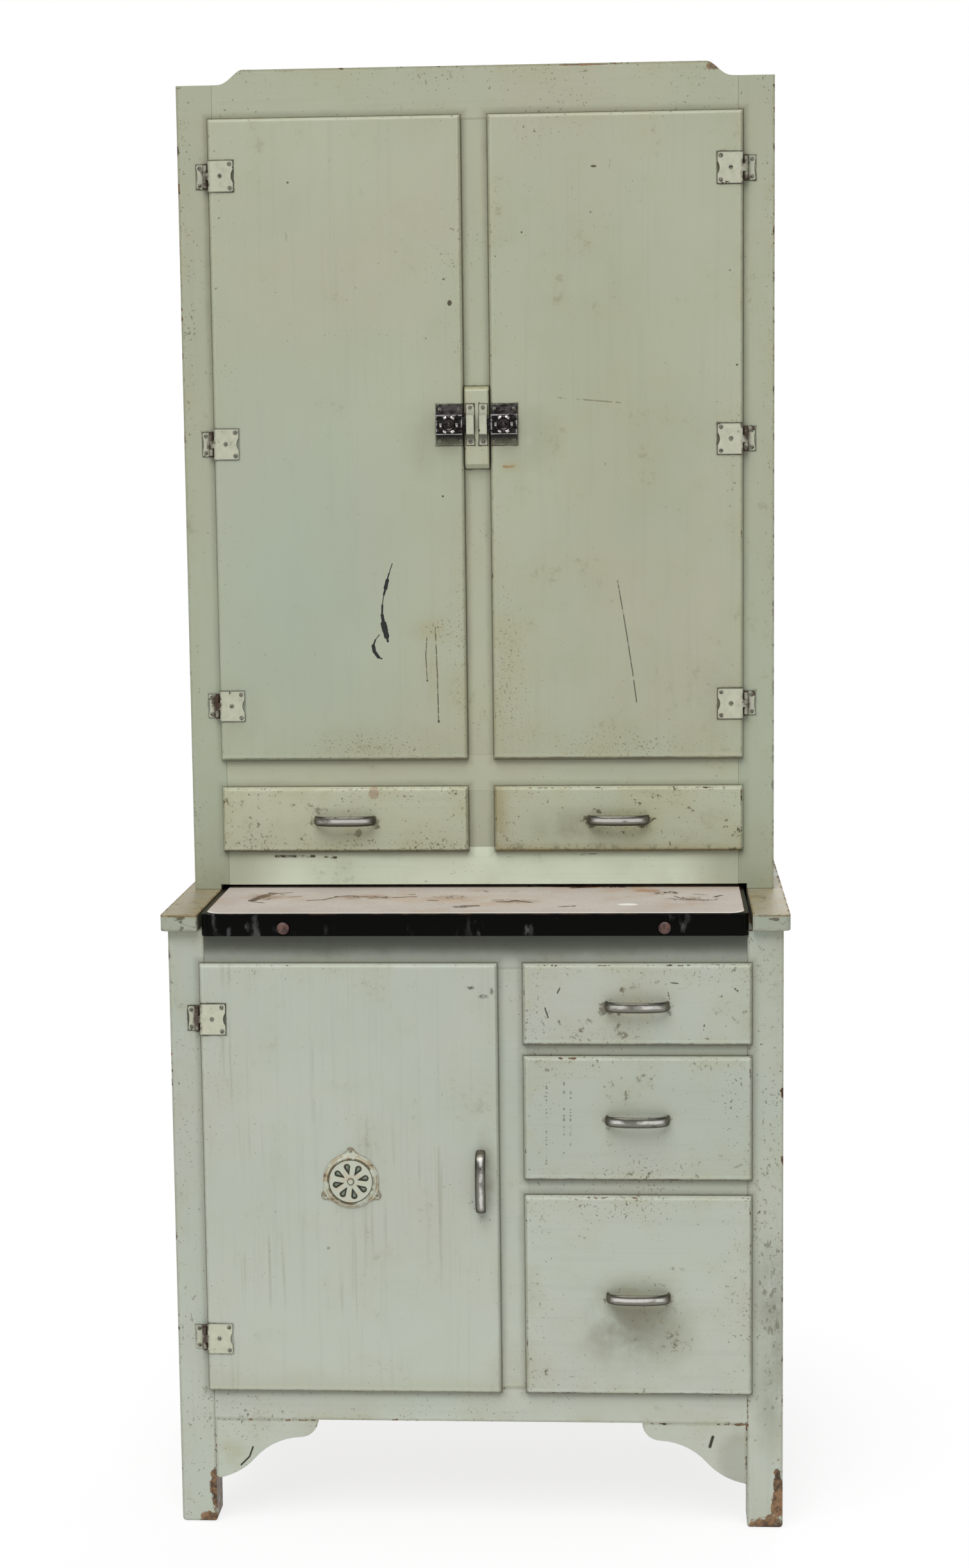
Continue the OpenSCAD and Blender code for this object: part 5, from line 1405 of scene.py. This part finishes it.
def pull_mesh(node):
    """A bow of oval section between two rounded feet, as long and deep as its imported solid."""
    low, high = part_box(node)
    size, middle = high - low, (low + high) / 2
    upright = size.z > size.x
    long_size, width = (size.z, size.x) if upright else (size.x, size.z)
    thick = 0.005
    half, out = (long_size - thick) / 2, size.y - thick / 2
    steps, sides, power = 72, 20, 0.72
    path = []
    for i in range(steps + 1):
        turn = math.pi * i / steps
        path.append(Vector((math.copysign(abs(math.cos(turn)) ** power, math.cos(turn)) * half,
                            -out * math.sin(turn) ** power if 0 < i < steps else 0.0)))
    rings, travel, round_section = [], [], []
    for i, spot in enumerate(path):
        ahead = path[min(i + 1, steps)] - path[max(i - 1, 0)]
        if i in (0, steps):
            ahead = Vector((0, -1)) if i == 0 else Vector((0, 1))
        side = Vector((-ahead.y, ahead.x)).normalized()
        swell = math.sin(math.pi * i / steps)
        wide = width / 2 * (0.86 + 0.14 * swell ** 0.5)
        ring = []
        for j in range(sides):
            turn = 2 * math.pi * j / sides
            # A flattened oval, a little squarer than an ellipse
            round_section.append(math.sin(turn))
            across = math.copysign(abs(math.sin(turn)) ** 0.85, math.sin(turn)) * wide
            deep = math.copysign(abs(math.cos(turn)) ** 0.85, math.cos(turn)) * thick / 2
            flat = spot + side * deep
            y = high.y + min(flat.y, 0.0)
            if upright:
                ring.append(Vector((middle.x + across, y, middle.z + flat.x)))
            else:
                ring.append(Vector((middle.x + flat.x, y, middle.z + across)))
        rings.append(ring)
        travel += [i / steps] * sides
    mesh = swept(rings)
    for name, values in (("travel", travel), ("across", round_section)):
        mesh.attributes.new(name, "FLOAT", "POINT").data.foreach_set("value", values)
    return mesh


class CABINET_OT_pulls(bpy.types.Operator):
    """Builds the six bow pulls"""
    bl_idname = "cabinet.pulls"
    bl_label = "Pulls"

    def execute(self, context):
        nickel = settings("cabinet_metal").nickel
        finish = worn_metal("nickel_pulls", nickel, tarnish=0.3, rough=0.24, feet=True)
        for node in PULLS:
            stand_in("bow_" + node, pull_mesh(node), finish, node)
        return {"FINISHED"}


# ---- Screws, by Geometry Nodes ----

def screw_tree(material):
    """A slotted, domed screw head on each point, facing the front, turned at random."""
    tree = bpy.data.node_groups.new("Screws", "GeometryNodeTree")
    face = tree.interface
    face.new_socket("Geometry", in_out="INPUT", socket_type="NodeSocketGeometry")
    face.new_socket("Geometry", in_out="OUTPUT", socket_type="NodeSocketGeometry")
    for name in ("Head radius", "Head height", "Slot width"):
        face.new_socket(name, in_out="INPUT", socket_type="NodeSocketFloat")
    face.new_socket("Seed", in_out="INPUT", socket_type="NodeSocketInt")
    n = Nodes(tree)
    points, radius, height, slot_width, seed, _ = n.node("NodeGroupInput").beside()

    def moved(geometry, **how):
        return n.node("GeometryNodeTransform", values={"Geometry": geometry, **how})

    dome = n.node("GeometryNodeMeshUVSphere", values={"Segments": 14, "Rings": 8, "Radius": 1.0})
    dome = moved(dome, Rotation=(math.radians(90), 0.0, 0.0))
    head = moved(dome, Scale=n.xyz(radius, height, radius))
    longer_than_head = 0.02
    slot = n.node("GeometryNodeMeshCube", values={"Size": n.xyz(longer_than_head, height, slot_width)})
    slot = moved(slot, Translation=n.xyz(0.0, height * -1.0))
    cut = n.node("GeometryNodeMeshBoolean", {"operation": "DIFFERENCE", "solver": "EXACT"},
                 {"Mesh 1": head, "Mesh 2": slot})
    turn = n.node("FunctionNodeRandomValue", {"data_type": "FLOAT"},
                  {2: 0.0, 3: math.pi, "Seed": seed}, out=1)
    copies = n.node("GeometryNodeInstanceOnPoints", values={
        "Points": points, "Instance": cut, "Rotation": n.xyz(0.0, turn)})
    real = n.node("GeometryNodeRealizeInstances", values={"Geometry": copies})
    coated = n.node("GeometryNodeSetMaterial", values={"Geometry": real, "Material": material})
    n.node("NodeGroupOutput", values={"Geometry": coated})
    return tree


class CABINET_OT_screws(bpy.types.Operator):
    """Sets the screws of the hinges, latches, strikes and vent"""
    bl_idname = "cabinet.screws"
    bl_label = "Screws"

    def execute(self, context):
        metal = settings("cabinet_metal")
        tone = settings("cabinet_paint").fitting
        f = Finish("screw_heads")
        blotch = f.noise(420, 4)
        f.colour = f.mix(blotch.between(0.35, 0.6), shade(metal.rust, 0.35), shade(tone, 0.45))
        material = f.finish(0.5, blotch, depth=0.0002)
        tree = screw_tree(material)
        inputs = {item.name: item.identifier for item in tree.interface.items_tree
                  if item.in_out == "INPUT"}
        sets = {}

        def add(node, y, places):
            """Screws of a fitting, at depth y and at places given as X and Z."""
            points = sets.setdefault(frame["nodes"][node]["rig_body"], [])
            points.extend((x, y, z) for x, z in places)

        # Insets are from the edges of a fitting, and depths tell how far the screws sit into its face
        # Leaves on the doors: two ears at the outer edge and one screw in the middle
        leaf_inset, leaf_inner, leaf_lift = 0.0048, 0.0185, 0.001
        for node in ("upper_left_hinge_leaves", "upper_right_hinge_leaves", "lower_hinge_leaves"):
            inward = 1 if "right" in node else -1
            for low, high in leaf_boxes(node):
                outer = low.x if "right" in node else high.x
                middle, ear = (low.z + high.z) / 2, (high.z - low.z) / 2 - leaf_inset
                ear_x = outer + inward * leaf_inset
                add(node, low.y, [(ear_x, middle + ear), (ear_x, middle - ear),
                                  (outer + inward * leaf_inner, middle + leaf_lift)])
        frame_inset_x, frame_inset_z, frame_depth = 0.0046, 0.0045, 0.0015
        for low, high in leaf_boxes("hinge_frame_leaves"):
            x = low.x + frame_inset_x if low.x + high.x < 0 else high.x - frame_inset_x
            add("hinge_frame_leaves", high.y - frame_depth,
                [(x, high.z - frame_inset_z), (x, low.z + frame_inset_z)])
        case_inset_x, case_inset_z, case_depth = 0.0045, 0.0065, 0.0012
        for node in ("left_latch_case", "right_latch_case"):
            low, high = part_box(node)
            add(node, high.y - case_depth, [(x, z) for x in (low.x + case_inset_x, high.x - case_inset_x)
                                            for z in (low.z + case_inset_z, high.z - case_inset_z)])
        low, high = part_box("strikes")
        strike_x, strike_inset, strike_depth = 0.009, 0.0045, 0.001
        add("strikes", high.y - strike_depth, [(x, z) for x in (-strike_x, strike_x)
                                               for z in (low.z + strike_inset, high.z - strike_inset)])
        low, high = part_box("vent_shutter")
        middle, plate_depth = (low + high) / 2, 0.0006
        add("vent_plate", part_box("vent_plate")[1].y - plate_depth,
            [(middle.x + EAR_REACH * math.cos(turn), middle.z + EAR_REACH * math.sin(turn))
             for turn in map(math.radians, EAR_TURNS)])
        for body, points in sets.items():
            mesh = bpy.data.meshes.new("screw_places")
            mesh.from_pydata(points, [], [])
            host = bpy.data.objects.new("screw_places", mesh)
            context.scene.collection.objects.link(host)
            modifier = host.modifiers.new("Screws", "NODES")
            modifier.node_group = tree
            modifier[inputs["Head radius"]] = metal.screw_r
            modifier[inputs["Head height"]] = metal.screw_h
            modifier[inputs["Slot width"]] = metal.slot_w
            modifier[inputs["Seed"]] = 7
            context.view_layer.update()
            ready = host.evaluated_get(context.evaluated_depsgraph_get())
            made = bpy.data.meshes.new_from_object(ready)
            bpy.data.objects.remove(host)
            if not made.polygons:
                raise RuntimeError(f"no screws were made for {body}")
            new_piece(f"screws_{body}", made, material, body)
        return {"FINISHED"}


# ---- Stage ----

CAMERA_PLACE = (0.235038, -3.866687, 1.486529)
CAMERA_PAN, CAMERA_TILT, CAMERA_ROLL = 0.0602, -0.1226, 0.0115
FRONT_LIGHT_TURN = math.radians(-14)
BACK_LIGHT_RISE = math.radians(18)


class CABINET_OT_stage(bpy.types.Operator):
    """Sets the pale floor, the soft lamps and the camera"""
    bl_idname = "cabinet.stage"
    bl_label = "Stage"

    def execute(self, context):
        stage = settings("cabinet_stage")
        scene = context.scene
        floor_shape = bmesh.new()
        bmesh.ops.create_grid(floor_shape, x_segments=1, y_segments=1, size=9)
        mesh = bpy.data.meshes.new("floor")
        floor_shape.to_mesh(mesh)
        floor_shape.free()
        floor = bpy.data.objects.new("floor", mesh)
        scene.collection.objects.link(floor)
        f = Finish("floor_paper")
        away = f.length(f.place)
        paper = f.node("ShaderNodeBsdfDiffuse", values={"Color": stage.floor})
        white = f.node("ShaderNodeEmission", values={"Color": (1.0, 1.0, 1.0), "Strength": 1.0})
        blend = f.seen_by("Camera", "Glossy", "Transmission") * (away.between(0.35, 0.9) * 0.2 + 0.8)
        both = f.node("ShaderNodeMixShader", values={0: blend, 1: paper, 2: white})
        f.node("ShaderNodeOutputMaterial", values={"Surface": both})
        mesh.materials.append(f.material)

        scene.world = bpy.data.worlds.new("surroundings")
        scene.world.use_nodes = True
        n = Nodes(scene.world.node_tree)
        strength = n.node("ShaderNodeMapRange", values={
            "Value": n.seen_by("Camera", "Transmission"), "To Min": stage.sky, "To Max": 1.0})
        sky = n.node("ShaderNodeBackground", values={"Color": (1.0, 1.0, 1.0), "Strength": strength})
        n.node("ShaderNodeOutputWorld", values={"Surface": sky})

        lamps = (("front_light", stage.top_light, FRONT_LIGHT_TURN, stage.top_angle),
                 ("back_light", stage.back_light, FRONT_LIGHT_TURN + math.pi, BACK_LIGHT_RISE))
        for name, power, turn, rise in lamps:
            light = bpy.data.lights.new(name, "SUN")
            light.energy = power
            light.angle = stage.softness
            lamp = bpy.data.objects.new(name, light)
            scene.collection.objects.link(lamp)
            lamp.matrix_world = (Matrix.Rotation(turn, 4, "Z")
                                 @ Matrix.Rotation(math.radians(90) - rise, 4, "X"))

        data = bpy.data.cameras.new("camera")
        data.lens = stage.focal
        data.clip_end = 50
        camera = bpy.data.objects.new("camera", data)
        scene.collection.objects.link(camera)
        level = Matrix.Rotation(math.radians(90), 4, "X")
        camera.matrix_world = (
            Matrix.Translation(CAMERA_PLACE) @ Matrix.Rotation(CAMERA_PAN, 4, "Z")
            @ Matrix.Rotation(CAMERA_TILT, 4, "X") @ Matrix.Rotation(CAMERA_ROLL, 4, "Y") @ level)
        scene.camera = camera
        scene.view_settings.view_transform = "Standard"
        return {"FINISHED"}


OPERATORS = (CABINET_OT_case, CABINET_OT_boards, CABINET_OT_doors, CABINET_OT_drawers,
             CABINET_OT_worktop, CABINET_OT_hinges, CABINET_OT_latches, CABINET_OT_vent,
             CABINET_OT_pulls, CABINET_OT_screws, CABINET_OT_stage)


class CABINET_PT_panel(bpy.types.Panel):
    """Lists the cabinet's sizes, colours and steps"""
    bl_idname = "CABINET_PT_panel"
    bl_label = "Painted cabinet"
    bl_space_type = "VIEW_3D"
    bl_region_type = "UI"
    bl_category = "Cabinet"

    def draw(self, context):
        for name, group in GROUPS.items():
            box = self.layout.box()
            for prop in group.__annotations__:
                box.prop(getattr(context.scene, name), prop)
        for operator in OPERATORS:
            self.layout.operator(operator.bl_idname)


def register():
    for group in GROUPS.values():
        bpy.utils.register_class(group)
    for name, group in GROUPS.items():
        setattr(bpy.types.Scene, name, PointerProperty(type=group))
    for operator in OPERATORS:
        bpy.utils.register_class(operator)
    bpy.utils.register_class(CABINET_PT_panel)


def unregister():
    bpy.utils.unregister_class(CABINET_PT_panel)
    for operator in reversed(OPERATORS):
        bpy.utils.unregister_class(operator)
    for name, group in GROUPS.items():
        delattr(bpy.types.Scene, name)
        bpy.utils.unregister_class(group)


def main():
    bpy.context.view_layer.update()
    register()
    for operator in OPERATORS:
        group, name = operator.bl_idname.split(".")
        getattr(getattr(bpy.ops, group), name)()


if __name__ == "__main__":
    main()
